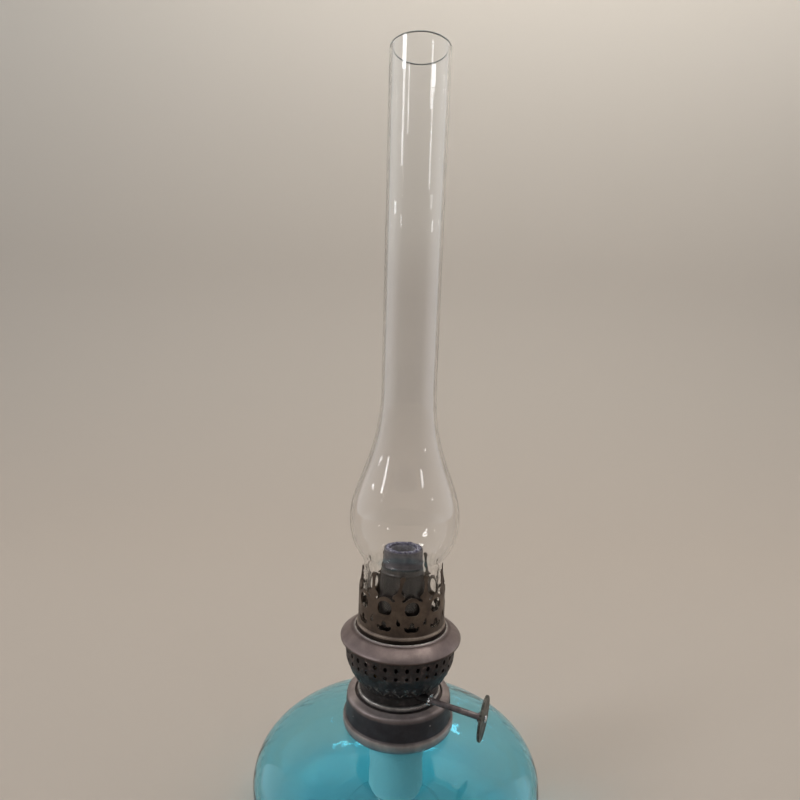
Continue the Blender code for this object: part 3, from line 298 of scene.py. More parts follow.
def charred_cotton():
    """Woven cotton wick: cream below, stained in the tube, blue-black and crumbly where it has burned. The
    crust is drawn coarser than real so that it shows."""
    made, tree, shader = new_finish("charred_cotton", {"Roughness": 0.95, "Sheen Weight": 0.1})
    where = place_on(tree)
    height = node(tree, "ShaderNodeSeparateXYZ", None, {"Vector": where})
    crumbs = node(tree, "ShaderNodeTexNoise", None, {
        "Vector": where, "Scale": per_metre(2.2 * MM), "Detail": 5.0, "Roughness": 0.75})
    ragged = node(tree, "ShaderNodeMath", {"operation": "MULTIPLY_ADD"}, {
        0: crumbs.outputs[0], 1: 5 * MM, 2: height.outputs["Z"]})
    burnt = node(tree, "ShaderNodeMapRange", None, {
        "Value": ragged.outputs[0], "From Min": WICK_TOP - 6 * MM, "From Max": WICK_TOP - 1 * MM})
    char = node(tree, "ShaderNodeValToRGB", {"stops": [
        (0.36, linear("#2a2848")), (0.45, linear("#565472")), (0.54, linear("#787888")),
        (0.66, linear("#a9aab8"))]}, {"Fac": crumbs.outputs[0]})
    dry = node(tree, "ShaderNodeMapRange", None, {
        "Value": height.outputs["Z"], "From Min": 70 * MM, "From Max": 100 * MM})
    cotton = node(tree, "ShaderNodeMix", {"data_type": "RGBA"}, {
        "Factor": dry.outputs[0], "A": linear("#f7f5ee"), "B": linear("#cfc8b5")})
    colour = node(tree, "ShaderNodeMix", {"data_type": "RGBA"}, {
        "Factor": burnt.outputs[0], "A": cotton.outputs["Result"], "B": char.outputs[0]})
    tree.links.new(colour.outputs["Result"], shader.inputs["Base Color"])
    bump = node(tree, "ShaderNodeBump", None, {"Strength": 1.0, "Distance": 0.9 * MM, "Height": crumbs.outputs[0]})
    tree.links.new(bump.outputs[0], shader.inputs["Normal"])
    return made


def studio_paper():
    """Matt paper sweep, warm and pale, a little darker where it lies on the table."""
    made, tree, shader = new_finish("studio_paper", {"Roughness": 0.9})
    level = node(tree, "ShaderNodeSeparateXYZ", None, {"Vector": place_on(tree)})
    shade = node(tree, "ShaderNodeValToRGB", {"stops": [
        (0.0, linear("#c9bfb5")), (0.22, linear("#cfc7be")), (0.5, linear("#d5cec6")), (1.0, linear("#d9d4cd"))]},
        {"Fac": level.outputs["Z"]})
    tree.links.new(shade.outputs[0], shader.inputs["Base Color"])
    return made


TURQUOISE_GLASS = blown_turquoise_glass()
CLEAR_GLASS = clear_lamp_glass()
RIM_GLASS_HIGHLIGHT = ground_rim_and_highlight()
LIP_GLASS_SHADE = melted_lip_and_shade()
# Pressed brass with a brown copper patina: satin and pinkish where the light strikes. Painted light and shade
# by height: a dark blue-black band of painted shade on the collar's wall, with the bead and the plateau's top painted
# lighter
COLLAR_PATINA_AND_LIGHT = patinated_metal(
    "copper_brown_patina_and_light", ("#bab0ae", "#d8cfcd", "#efe8e6"), 0.6, 0.42, 14 * MM, 0.5 * MM,
    (7 * MM, 0.12 * MM, 1.1), 0.8,
    ((62 * MM, "#b5b4b3"), (63.5 * MM, "#cfcbc8"), (66.6 * MM, "#dcd7d4"), (67.9 * MM, "#515157"),
     (77.2 * MM, "#4c4c53"), (78.6 * MM, "#8c8686"), (79.6 * MM, "#b5aeae"), (80.7 * MM, "#e6e1e1")))
# The same patina on the flange, painted by height: painted shade under its turned edge and in the channel, a white
# painted highlight on the lip
FLANGE_PATINA_AND_LIGHT = patinated_metal(
    "copper_patina_and_light", ("#84787a", "#9c9090", "#b3a9a7"), 0.6, 0.40, 18 * MM, 0.5 * MM,
    (9 * MM, 0.2 * MM, 1.1), 0.25,
    ((112.4 * MM, "#6d605c"), (113.1 * MM, "#8f8079"), (113.9 * MM, "#ded7d3"), (118.0 * MM, "#d8d0cc"),
     (118.7 * MM, "#a79d99"), (119.3 * MM, "#ffffff")))
# Brass bronzed dark brown, painted by height: a white painted highlight on the bead at its foot, darker below it
DARK_BRONZE_AND_LIGHT = patinated_metal(
    "dark_bronze_and_light", ("#83766f", "#a09288", "#bbaea3"), 0.6, 0.46, 9 * MM, 0.45 * MM,
    (5 * MM, 0.12 * MM, 1.2), 0.2,
    ((118 * MM, "#7a7470"), (120.6 * MM, "#8a8480"), (121.3 * MM, "#ffffff"), (122.4 * MM, "#fbf9f5"),
     (123.2 * MM, "#8d8781"), (135 * MM, "#9c948b"), (156 * MM, "#968e86")))
# The cup's rolled bead, worn grey, painted by height: a white painted highlight along its top, darker below
WORN_BEAD_HIGHLIGHT = patinated_metal(
    "worn_bead_and_highlight", ("#94908f", "#b4b0ae", "#d2cfcd"), 0.5, 0.30, 5 * MM, 0.45 * MM,
    (5 * MM, 0.1 * MM, 1.0), 0.2,
    ((79.5 * MM, "#7c7a7a"), (80.6 * MM, "#b4b2b2"), (81.7 * MM, "#ffffff"), (82.8 * MM, "#e0dedd")))
# Edges rubbed down to the bare metal, and a painted highlight: a thin pale line on the cup's bead and the flange's lip
RUBBED_EDGE_HIGHLIGHT = patinated_metal(
    "bare_edge_and_highlight", ("#85817b", "#b5b1ab", "#dedbd6"), 0.7, 0.36, 4 * MM, 0.4 * MM, (4 * MM, 0.1 * MM, 1.0), 0.0)
# The bowl's pressed scrolls, rubbed dull grey here and there, a paler grey that is also a painted highlight to make
# the relief show
RUBBED_SCROLL_HIGHLIGHT = patinated_metal(
    "rubbed_scrolls_and_highlight", ("#2c2a2a", "#5b5856", "#8f8b88"), 0.3, 0.42, 2.5 * MM, 0.4 * MM, (2 * MM, 0.1 * MM, 1.3), 0.0)
# The same brass, nearly black and sooty, painted by height: lighter and reddish between the holes of the upper bowl
# where light falls, darkest where the neck meets the bowl. Its high spots are rubbed grey below, which is also a
# painted highlight
BLACK_BRASS_AND_LIGHT = patinated_metal(
    "blackened_brass", ("#2b292a", "#403d3e", "#5f5856"), 0.25, 0.50, 5 * MM, 0.5 * MM,
    (1.9 * MM, 0.25 * MM, 2.4), 1.0,
    ((83 * MM, "#a4a3a6"), (88 * MM, "#8c8c90"), (96 * MM, "#acabad"), (103 * MM, "#c4b8b5"),
     (109 * MM, "#d4c0ba"), (113 * MM, "#a0928e")))
# Drawn brass tube dulled by heat, grey at the tip; below the crown's top it is painted browner and darker, painted
# shade from the crown wall round it
SOOTED_TUBE_AND_SHADE = patinated_metal(
    "sooted_tube_and_shade", ("#4d4a4d", "#625f62", "#787578"), 0.3, 0.42, 8 * MM, 1.6 * MM,
    (4 * MM, 0.12 * MM, 1.2), 0.0,
    ((138 * MM, "#655a52"), (150 * MM, "#6c635b"), (155.5 * MM, "#8f8883"), (157.5 * MM, "#f2f0f4"),
     (165 * MM, "#e8e4ee")))
# The inner tube's dry lamp-black, ash-grey at the mouth, painted darker further down as shade inside the tube
SOOT_AND_SHADE = patinated_metal(
    "lamp_black_and_shade", ("#64636c", "#7c7b85", "#9897a0"), 0.0, 0.8, 5 * MM, 0.6 * MM, (3 * MM, 0.1 * MM, 1.0), 0.0,
    ((140 * MM, "#3a383b"), (156 * MM, "#7b7a80"), (163 * MM, "#ffffff")))
# Bare brass inside the burner, dull yellow-brown
DULL_BRASS = patinated_metal(
    "dull_bare_brass", ("#4a3a20", "#7a6538", "#a08a54"), 0.95, 0.42, 6 * MM, 0.4 * MM,
    (6 * MM, 0.05 * MM, 1.0), 0.0)
# Mild steel wire, browned by age: dull pinkish brown
BROWNED_STEEL = patinated_metal(
    "browned_steel", ("#544c4d", "#756c6d", "#948b8b"), 0.6, 0.42, 6 * MM, 0.35 * MM,
    (4 * MM, 0.1 * MM, 1.2), 0.3)
# Stamped steel disc under an olive-grey oxide
GREY_STEEL = patinated_metal(
    "oxidised_grey_steel", ("#3b3b37", "#53534d", "#6e6c65"), 0.6, 0.44, 4 * MM, 0.35 * MM,
    (3 * MM, 0.1 * MM, 1.2), 0.3)
# Bright steel where the rivet and the bush are worn through
BRIGHT_STEEL = patinated_metal(
    "worn_bright_steel", ("#c9cccf", "#e2e5e8", "#f4f6f8"), 0.85, 0.18, 3 * MM, 0.3 * MM,
    (2 * MM, 0.1 * MM, 1.0), 0.0)
PLASTER = old_lime_plaster()
COTTON = charred_cotton()
PAPER = studio_paper()


# Shapes
def smooth(mesh, angle=SHARP):
    mesh.shade_smooth()
    mesh.set_sharp_from_angle(angle=angle)


def shown(name, data):
    obj = bpy.data.objects.new(name, data)
    bpy.context.scene.collection.objects.link(obj)
    return obj


def put(name, mesh, finish, body, replaced=None):
    """Show a finished mesh on a body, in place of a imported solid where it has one."""
    obj = shown(name, mesh)
    if finish is not None:
        mesh.materials.clear()
        mesh.materials.append(finish)
    if body is not None:
        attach(obj, body)
    if replaced is not None:
        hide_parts(replaced)
    return obj


def rub_and_highlight(obj, finish, chosen):
    """Give chosen faces a paler finish of their own: metal rubbed bare by handling, and a painted highlight."""
    obj.data.materials.append(finish)
    for face in obj.data.polygons:
        if chosen(face):
            face.material_index = 1


def out_from_axis(face):
    return hypot(face.center.x, face.center.y)


def settle(obj):
    """Replace the object's mesh by what its modifiers make of it."""
    bpy.context.view_layer.update()
    graph = bpy.context.evaluated_depsgraph_get()
    made = bpy.data.meshes.new_from_object(obj.evaluated_get(graph))
    obj.modifiers.clear()
    obj.data = made
    return made


def bezier(start, first, second, end, steps):
    """Points of one cubic arc, its start left out."""
    points = []
    for step in range(1, steps + 1):
        t = step / steps
        s = 1 - t
        weights = (s ** 3, 3 * s * s * t, 3 * s * t * t, t ** 3)
        points.append(tuple(sum(w * p[axis] for w, p in zip(weights, (start, first, second, end)))
                            for axis in range(2)))
    return points


def eased(corners, closed=False, steps=5):
    """An outline whose (radius, height, rounding) corners are turned into arcs."""
    points = []
    count = len(corners)
    for index, corner in enumerate(corners):
        here = Vector(corner[:2])
        rounding = corner[2] if len(corner) > 2 else 0
        if rounding == 0 or (not closed and index in (0, count - 1)):
            points.append(tuple(here))
            continue
        legs = [Vector(corners[(index + turn) % count][:2]) - here for turn in (-1, 1)]
        ends = [here + leg.normalized() * min(rounding, leg.length * 0.49) for leg in legs]
        for step in range(steps + 1):
            t = step / steps
            points.append(tuple((1 - t) ** 2 * ends[0] + 2 * t * (1 - t) * here + t * t * ends[1]))
    return points


def offset(path, distance):
    """The path moved to its right-hand side by a distance, with mitred corners."""
    moved = []
    for index, point in enumerate(path):
        here = Vector(point)
        legs = []
        if index > 0:
            legs.append((here - Vector(path[index - 1])).normalized())
        if index < len(path) - 1:
            legs.append((Vector(path[index + 1]) - here).normalized())
        normals = [Vector((leg.y, -leg.x)) for leg in legs]
        unit = sum(normals, Vector((0, 0))).normalized()
        moved.append(tuple(here + unit * distance / max(unit.dot(normals[0]), 0.4)))
    return moved


def lathe(name, outline, sides, closed):
    """Turn (radius, height) points that run down their outer side about the lamp's axis."""
    work = bmesh.new()
    rings = []
    for side in range(sides):
        turn = tau * side / sides
        rings.append([work.verts.new((radius * cos(turn), radius * sin(turn), height))
                      for radius, height in outline])
    count = len(outline)
    for side in range(sides):
        here, there = rings[side], rings[(side + 1) % sides]
        for low in range(count if closed else count - 1):
            high = (low + 1) % count
            work.faces.new((here[low], here[high], there[high], there[low]))
    bmesh.ops.remove_doubles(work, verts=work.verts, dist=WELD)
    mesh = bpy.data.meshes.new(name)
    work.to_mesh(mesh)
    work.free()
    smooth(mesh)
    return mesh


def sheet_lathe(name, path, sheet, sides):
    """Turned sheet metal whose outer face follows the path."""
    return lathe(name, path + offset(path, sheet)[::-1], sides, True)


def flat_column(name, loops, x_cuts, y_cuts):
    """Fill flat outlines, holes left open, and cut the sheet into strips so that it can be bent."""
    curve = bpy.data.curves.new(name, "CURVE")
    curve.dimensions = "2D"
    curve.fill_mode = "FRONT"
    for loop in loops:
        spline = curve.splines.new("POLY")
        spline.points.add(len(loop) - 1)
        for point, (x, y) in zip(spline.points, loop):
            point.co = (x, y, 0, 1)
        spline.use_cyclic_u = True
    drawn = shown(name, curve)
    bpy.context.view_layer.update()
    graph = bpy.context.evaluated_depsgraph_get()
    mesh = bpy.data.meshes.new_from_object(drawn.evaluated_get(graph))
    bpy.data.objects.remove(drawn)
    work = bmesh.new()
    work.from_mesh(mesh)
    bmesh.ops.remove_doubles(work, verts=work.verts, dist=WELD)
    for cuts, normal in ((x_cuts, (1, 0, 0)), (y_cuts, (0, 1, 0))):
        for place in cuts:
            everything = work.verts[:] + work.edges[:] + work.faces[:]
            bmesh.ops.bisect_plane(work, geom=everything, dist=WELD / 4,
                                   plane_co=[place * axis for axis in normal], plane_no=normal)
    for face in work.faces:
        if face.normal.z < 0:
            face.normal_flip()
    work.to_mesh(mesh)
    work.free()
    return mesh


def new_tree(name, sockets):
    """A geometry tree with named inputs. Returns the tree, its input node and its output node."""
    tree = bpy.data.node_groups.new(name, "GeometryNodeTree")
    tree.interface.new_socket("Geometry", in_out="INPUT", socket_type="NodeSocketGeometry")
    for label, kind in sockets:
        tree.interface.new_socket(label, in_out="INPUT", socket_type=kind)
    tree.interface.new_socket("Geometry", in_out="OUTPUT", socket_type="NodeSocketGeometry")
    return tree, node(tree, "NodeGroupInput"), node(tree, "NodeGroupOutput")


def rolled_sheet_tree():
    """Repeat a flat column round the lamp and lay it on a turned profile. X counts columns and Y is the
    way along the profile."""
    tree, start, end = new_tree("rolled_sheet", [
        ("Profile", "NodeSocketObject"), ("Columns", "NodeSocketInt"), ("Turn", "NodeSocketFloat"),
        ("Weld", "NodeSocketFloat"), ("Finish", "NodeSocketMaterial")])
    row = node(tree, "GeometryNodeMeshLine", {"mode": "OFFSET"}, {
        "Count": start.outputs["Columns"], "Offset": (1, 0, 0)})
    copies = node(tree, "GeometryNodeInstanceOnPoints", None, {
        "Points": row.outputs[0], "Instance": start.outputs["Geometry"]})
    real = node(tree, "GeometryNodeRealizeInstances", None, {"Geometry": copies.outputs[0]})
    place = node(tree, "GeometryNodeInputPosition")
    parts = node(tree, "ShaderNodeSeparateXYZ", None, {"Vector": place.outputs[0]})
    share = node(tree, "ShaderNodeMath", {"operation": "DIVIDE"}, {
        0: parts.outputs["X"], 1: start.outputs["Columns"]})
    angle = node(tree, "ShaderNodeMath", {"operation": "MULTIPLY_ADD"}, {
        0: share.outputs[0], 1: tau, 2: start.outputs["Turn"]})
    line = node(tree, "GeometryNodeObjectInfo", None, {"Object": start.outputs["Profile"]})
    spot = node(tree, "GeometryNodeSampleCurve", {"mode": "LENGTH"}, {
        "Curves": line.outputs["Geometry"], "Length": parts.outputs["Y"]})
    level = node(tree, "ShaderNodeSeparateXYZ", None, {"Vector": spot.outputs["Position"]})
    across = [node(tree, "ShaderNodeMath", {"operation": kind}, {0: angle.outputs[0]})
              for kind in ("COSINE", "SINE")]
    sides = [node(tree, "ShaderNodeMath", {"operation": "MULTIPLY"}, {
        0: level.outputs["X"], 1: turn.outputs[0]}) for turn in across]
    point = node(tree, "ShaderNodeCombineXYZ", None, {
        "X": sides[0].outputs[0], "Y": sides[1].outputs[0], "Z": level.outputs["Z"]})
    laid = node(tree, "GeometryNodeSetPosition", None, {
        "Geometry": real.outputs[0], "Position": point.outputs[0]})
    joined = node(tree, "GeometryNodeMergeByDistance", None, {
        "Geometry": laid.outputs[0], "Distance": start.outputs["Weld"]})
    whole = node(tree, "GeometryNodeRealizeInstances", None, {"Geometry": joined.outputs[0]})
    painted = node(tree, "GeometryNodeSetMaterial", None, {
        "Geometry": whole.outputs[0], "Material": start.outputs["Finish"]})
    tree.links.new(painted.outputs[0], end.inputs[0])
    return tree


def run_tree(obj, tree, values):
    """Put the tree on the object as a modifier and give it its inputs, by identifier."""
    change = obj.modifiers.new(tree.name, "NODES")
    change.node_group = tree
    for label, value in values.items():
        change[tree.interface.items_tree[label].identifier] = value


def profile_line(name, points):
    """A line of (radius, height) points in the lamp's XZ plane, for the rolled sheets to follow."""
    curve = bpy.data.curves.new(name, "CURVE")
    curve.dimensions = "3D"
    spline = curve.splines.new("POLY")
    spline.points.add(len(points) - 1)
    for point, (radius, height) in zip(spline.points, points):
        point.co = (radius, 0, height, 1)
    return shown(name, curve)


ROLLED_SHEET = rolled_sheet_tree()


def rolled_sheet(name, column, profile, columns, turn, sheet, finish):
    """A pierced sheet laid on a turned profile and given its thickness on the inner side."""
    line = profile_line(name + "_profile", profile)
    obj = shown(name, column)
    run_tree(obj, ROLLED_SHEET, {"Profile": line, "Columns": columns, "Turn": turn, "Weld": 0.02 * MM,
                                 "Finish": finish})
    wall = obj.modifiers.new("wall", "SOLIDIFY")
    wall.thickness = sheet
    wall.offset = -1
    wall.use_even_offset = True
    mesh = settle(obj)
    smooth(mesh)
    bpy.data.objects.remove(obj)
    bpy.data.objects.remove(line)
    return mesh


# Fount
def fount_outline():
    """Outer wall from the neck's top edge down to the middle of the kicked-up base."""
    neck = 26.5 * MM
    equator = (81.95 * MM, 33.5 * MM)
    shoulder = (29.6 * MM, FOUNT_SHOULDER)
    path = [(neck, NECK_TOP), (neck, FOUNT_SHOULDER + 2.4 * MM)]
    path += bezier(path[-1], (neck, FOUNT_SHOULDER), (neck, FOUNT_SHOULDER), shoulder, 6)
    path += bezier(shoulder, (65.5 * MM, 53.45 * MM), (81.95 * MM, 48.39 * MM), equator, 30)
    path += bezier(equator, (81.95 * MM, 16.1 * MM), (67.95 * MM, 0), (48 * MM, 0), 22)
    path += [(31.5 * MM, 0)]
    path += bezier(path[-1], (30.5 * MM, 0), (30 * MM, 0.2 * MM), (29 * MM, 0.5 * MM), 3)
    path += bezier(path[-1], (20 * MM, 2.6 * MM), (10 * MM, 2.6 * MM), (0, 2.6 * MM), 6)
    return path


def make_fount():
    outer = fount_outline()
    inner = offset(outer, 3.2 * MM)
    inner[0] = (inner[0][0], NECK_TOP)
    inner[-1] = (0, 5.8 * MM)
    inner = [point for point in inner if point[0] >= 0]
    rim = eased([(inner[0][0], NECK_TOP - 2 * MM), (inner[0][0], NECK_TOP, 1 * MM),
                 (outer[0][0], NECK_TOP, 1 * MM), (outer[0][0], NECK_TOP - 2 * MM)])
    outline = inner[:0:-1] + rim + outer[1:]
    put("fount_glass", lathe("fount_glass", outline, 192, False), TURQUOISE_GLASS, "fount_body", "fount")


# Collar and burner foot
def make_collar():
    """Thread sleeve, sunk mouth, sloping plateau, dark wall and rolled bead."""
    path = eased([
        (20.9 * MM, 68.0 * MM), (20.9 * MM, 79.2 * MM, 0.4 * MM), (25.0 * MM, 79.2 * MM, 0.5 * MM),
        (25.4 * MM, COLLAR_TOP, 0.5 * MM), (30.0 * MM, 79.9 * MM, 1.6 * MM), (30.3 * MM, 77.0 * MM, 1.0 * MM),
        (30.7 * MM, 67.5 * MM, 0.7 * MM), (32.1 * MM, 67.4 * MM, 1.3 * MM),
        (32.2 * MM, 63.9 * MM, 1.4 * MM), (31.5 * MM, COLLAR_BASE, 0.6 * MM), (31.0 * MM, COLLAR_BASE)])
    put("collar_shell", sheet_lathe("collar_shell", path, 0.7 * MM, 160), COLLAR_PATINA_AND_LIGHT, "fount_body",
        "collar")


def make_cup():
    """Beaded cup under the basket."""
    path = eased([
        (22.1 * MM, CUP_TOP + 0.7 * MM), (22.1 * MM, CUP_TOP, 0.2 * MM), (23.3 * MM, CUP_TOP, 0.3 * MM),
        (24.0 * MM, 82.6 * MM, 0.7 * MM), (24.0 * MM, 80.9 * MM, 0.7 * MM), (23.2 * MM, 80.4 * MM, 0.4 * MM),
        (23.1 * MM, CUP_BASE, 0.4 * MM), (18.6 * MM, CUP_BASE), (18.6 * MM, CUP_BASE + 0.6 * MM),
        (21.5 * MM, CUP_BASE + 0.6 * MM), (21.5 * MM, CUP_TOP + 0.7 * MM)], closed=True)
    cup = put("burner_cup_bead", lathe("burner_cup_bead", path, 160, True), WORN_BEAD_HIGHLIGHT, "burner", "burner_cup")
    # Painted highlight: a pale line along the top of the bead, as rubbed bare metal
    rub_and_highlight(cup, RUBBED_EDGE_HIGHLIGHT, lambda face: out_from_axis(face) > 23.7 * MM and face.center.z > 82.35 * MM)


# Air basket
def basket_profile():
    """Outer face of the bowl from its neck's foot up to the mouth of the deck."""
    neck = (23.0 * MM, 87.5 * MM)
    bowl = (31.3 * MM, 102.3 * MM)
    path = [(23.0 * MM, BASKET_BASE), neck]
    path += bezier(neck, (23.28 * MM, 87.5 * MM), (31.02 * MM, 97.86 * MM), bowl, 34)
    path += [(32.3 * MM, 111.7 * MM)]
    path += bezier(path[-1], (31.19 * MM, 116.2 * MM), (31.19 * MM, 116.2 * MM), (28.6 * MM, BASKET_TOP), 8)
    path += [(21.6 * MM, BASKET_TOP)]
    return path


def way_to(path, height):
    """How far along a profile its rising part reaches a height, and the radius there."""
    gone = 0.0
    for (r0, z0), (r1, z1) in zip(path, path[1:]):
        leg = hypot(r1 - r0, z1 - z0)
        if z0 <= height <= z1 and z1 > z0:
            share = (height - z0) / (z1 - z0)
            return gone + leg * share, r0 + (r1 - r0) * share
        gone += leg
    return gone, path[-1][0]


def oval(middle, wide, tall, squeeze, sides):
    return [(middle[0] + wide * squeeze * cos(tau * side / sides), middle[1] + tall * sin(tau * side / sides))
            for side in range(sides)]


def from_line(point, line):
    """Distance of a flat point from a run of straight legs."""
    near = 1.0
    for start, end in zip(line, line[1:]):
        leg = end - start
        share = min(max((point - start).dot(leg) / leg.length_squared, 0), 1)
        near = min(near, (point - start - leg * share).length)
    return near


def press_scrolls(mesh, turn):
    """Press a running row of scrolls and dots out of the bowl under its holes. Returns what tells how far
    a point is pressed out."""
    scroll = [Vector(point) for point in sized([
        (-1.9, 89.9), (-1.2, 91.4), (0, 92.7), (1.2, 93.6), (1.5, 94.6), (0.8, 95.4), (0, 94.9), (0.3, 94.2)])]
    dot = [Vector(point) for point in sized([(1.5, 90.8), (1.7, 91.1)])]

    def pressed(place):
        radius = hypot(place.x, place.y)
        if radius < 22 * MM or not 88.6 * MM < place.z < 96.8 * MM:
            return 0.0
        around = (atan2(place.y, place.x) - turn) / tau * BASKET_COLUMNS
        column = round(around)
        across = (around - column) * tau / BASKET_COLUMNS * radius * (-1 if column % 2 else 1)
        point = Vector((across, place.z))
        rise = max(1 - from_line(point, scroll) / (0.75 * MM), 1 - from_line(point, dot) / (0.8 * MM), 0)
        return rise * rise * (3 - 2 * rise)

    for vertex in mesh.vertices:
        lift = 0.45 * MM * pressed(vertex.co)
        if lift:
            out = Vector((vertex.co.x, vertex.co.y)).normalized() * 0.75
            vertex.co += Vector((out.x, out.y, -0.66)) * lift
    return pressed


def make_basket():
    path = basket_profile()
    length = sum(hypot(b[0] - a[0], b[1] - a[1]) for a, b in zip(path, path[1:]))
    loops = [[(-0.5, 0), (0.5, 0), (0.5, length), (-0.5, length)]]
    for rise, wide, tall in ((24.7 * MM, 1.05 * MM, 1.4 * MM), (19.8 * MM, 1.0 * MM, 1.05 * MM)):
        way, around = way_to(path, BASKET_BASE + rise)
        pitch = tau * around / BASKET_COLUMNS
        loops.append(oval((0, way), wide, tall, 1 / pitch, 16))
    x_cuts = [step / 14 for step in range(-6, 7)]
    y_cuts = []
    gone = 0.0
    for a, b in zip(path[:-1], path[1:-1]):
        gone += hypot(b[0] - a[0], b[1] - a[1])
        y_cuts.append(gone)
    column = flat_column("basket_column", loops, x_cuts, y_cuts)
    turn = pi / BASKET_COLUMNS + BASKET_TURN
    mesh = rolled_sheet("air_bowl", column, path, BASKET_COLUMNS, turn, 0.6 * MM, BLACK_BRASS_AND_LIGHT)
    pressed = press_scrolls(mesh, turn)
    bowl = put("air_bowl", mesh, BLACK_BRASS_AND_LIGHT, "burner", "air_basket")
    # The raised scrolls' outer faces take the paler grey: rubbed wear and a painted highlight
    rub_and_highlight(bowl, RUBBED_SCROLL_HIGHLIGHT, lambda face: face.normal.z < 0 and pressed(face.center) > 0.5)


# Flange and crown
def make_flange():
    channel = (28.2 * MM, FLANGE_FLOOR + 0.45 * MM)
    edge = (35.0 * MM, FLANGE_FLOOR - 4.7 * MM)
    path = eased([
        (21.6 * MM, FLANGE_FLOOR), (26.1 * MM, FLANGE_FLOOR, 0.3 * MM), (26.2 * MM, FLANGE_FLOOR + 1.1 * MM, 0.3 * MM),
        (26.6 * MM, FLANGE_FLOOR + 1.3 * MM, 0.4 * MM), (27.6 * MM, FLANGE_FLOOR + 0.5 * MM, 0.5 * MM), channel])
    path += bezier(channel, (30.59 * MM, 117.58 * MM), (34.23 * MM, 114.98 * MM), (34.8 * MM, 113.9 * MM), 14)
    path += bezier(path[-1], (34.95 * MM, 113.7 * MM), edge, (34.7 * MM, FLANGE_FLOOR - 5.7 * MM), 5)
    flange = put("flange_shell", sheet_lathe("flange_shell", path, 0.7 * MM, 160), FLANGE_PATINA_AND_LIGHT, "burner",
                 "gallery_flange")
    # Painted highlight: a pale line on the lip's top, as rubbed bare metal
    rub_and_highlight(flange, RUBBED_EDGE_HIGHLIGHT, lambda face: 26.15 * MM < out_from_axis(face) < 26.9 * MM
        and face.center.z > 119.2 * MM)


def mirrored(half):
    """A closed outline from its half at positive X, whose ends lie on the middle line."""
    return half + [(-x, y) for x, y in reversed(half) if x > 0]


def rounded(points, times, closed=True):
    """Cut the corners of an outline again and again, which rounds them. An open one keeps its ends."""
    for _ in range(times):
        cut = [] if closed else [points[0]]
        for point, after in zip(points, points[1:] + points[:1] if closed else points[1:]):
            cut.append(tuple(0.78 * a + 0.22 * b for a, b in zip(point, after)))
            cut.append(tuple(0.22 * a + 0.78 * b for a, b in zip(point, after)))
        points = cut if closed else cut + [points[-1]]
    return points


def sized(points):
    return [(x * MM, y * MM) for x, y in points]


def turned_about(points, middle, lean):
    return [(middle[0] + x * cos(lean) - y * sin(lean), middle[1] + x * sin(lean) + y * cos(lean))
            for x, y in points]


def crown_wall_outline(pitch, notch, join):
    """One pitch of the wall: from below, up the right-hand side, over the notch and its hooks, and down."""
    low = 4.1 * MM
    (x0, y0), (x1, y1) = notch[2], notch[3]
    brow = y0 + (y1 - y0) * (join - x0) / (x1 - x0)
    inner = rounded(notch, 1, False)
    turn = min(index for index, point in enumerate(inner) if point[0] > join)
    outline = [(join - pitch, low), (join, low), (join, brow)]
    outline += inner[:turn][::-1]
    outline += [(-x, y) for x, y in inner[1:]]
    outline += [(x - pitch, y) for x, y in inner[turn:][::-1]]
    return outline + [(join - pitch, brow)]


def lean_prongs(mesh, leans, first, hinge):
    """Old prongs never stand straight: turn each one a little round the lamp above its hinge."""
    height = max(vertex.co.z for vertex in mesh.vertices) - hinge
    for vertex in mesh.vertices:
        rise = (vertex.co.z - hinge) / height
        if rise > 0:
            place = (atan2(vertex.co.y, vertex.co.x) - first) / tau * CROWN_PERIODS
            lean = leans[round(place) % CROWN_PERIODS] * rise
            vertex.co = Matrix.Rotation(lean, 4, "Z") @ vertex.co


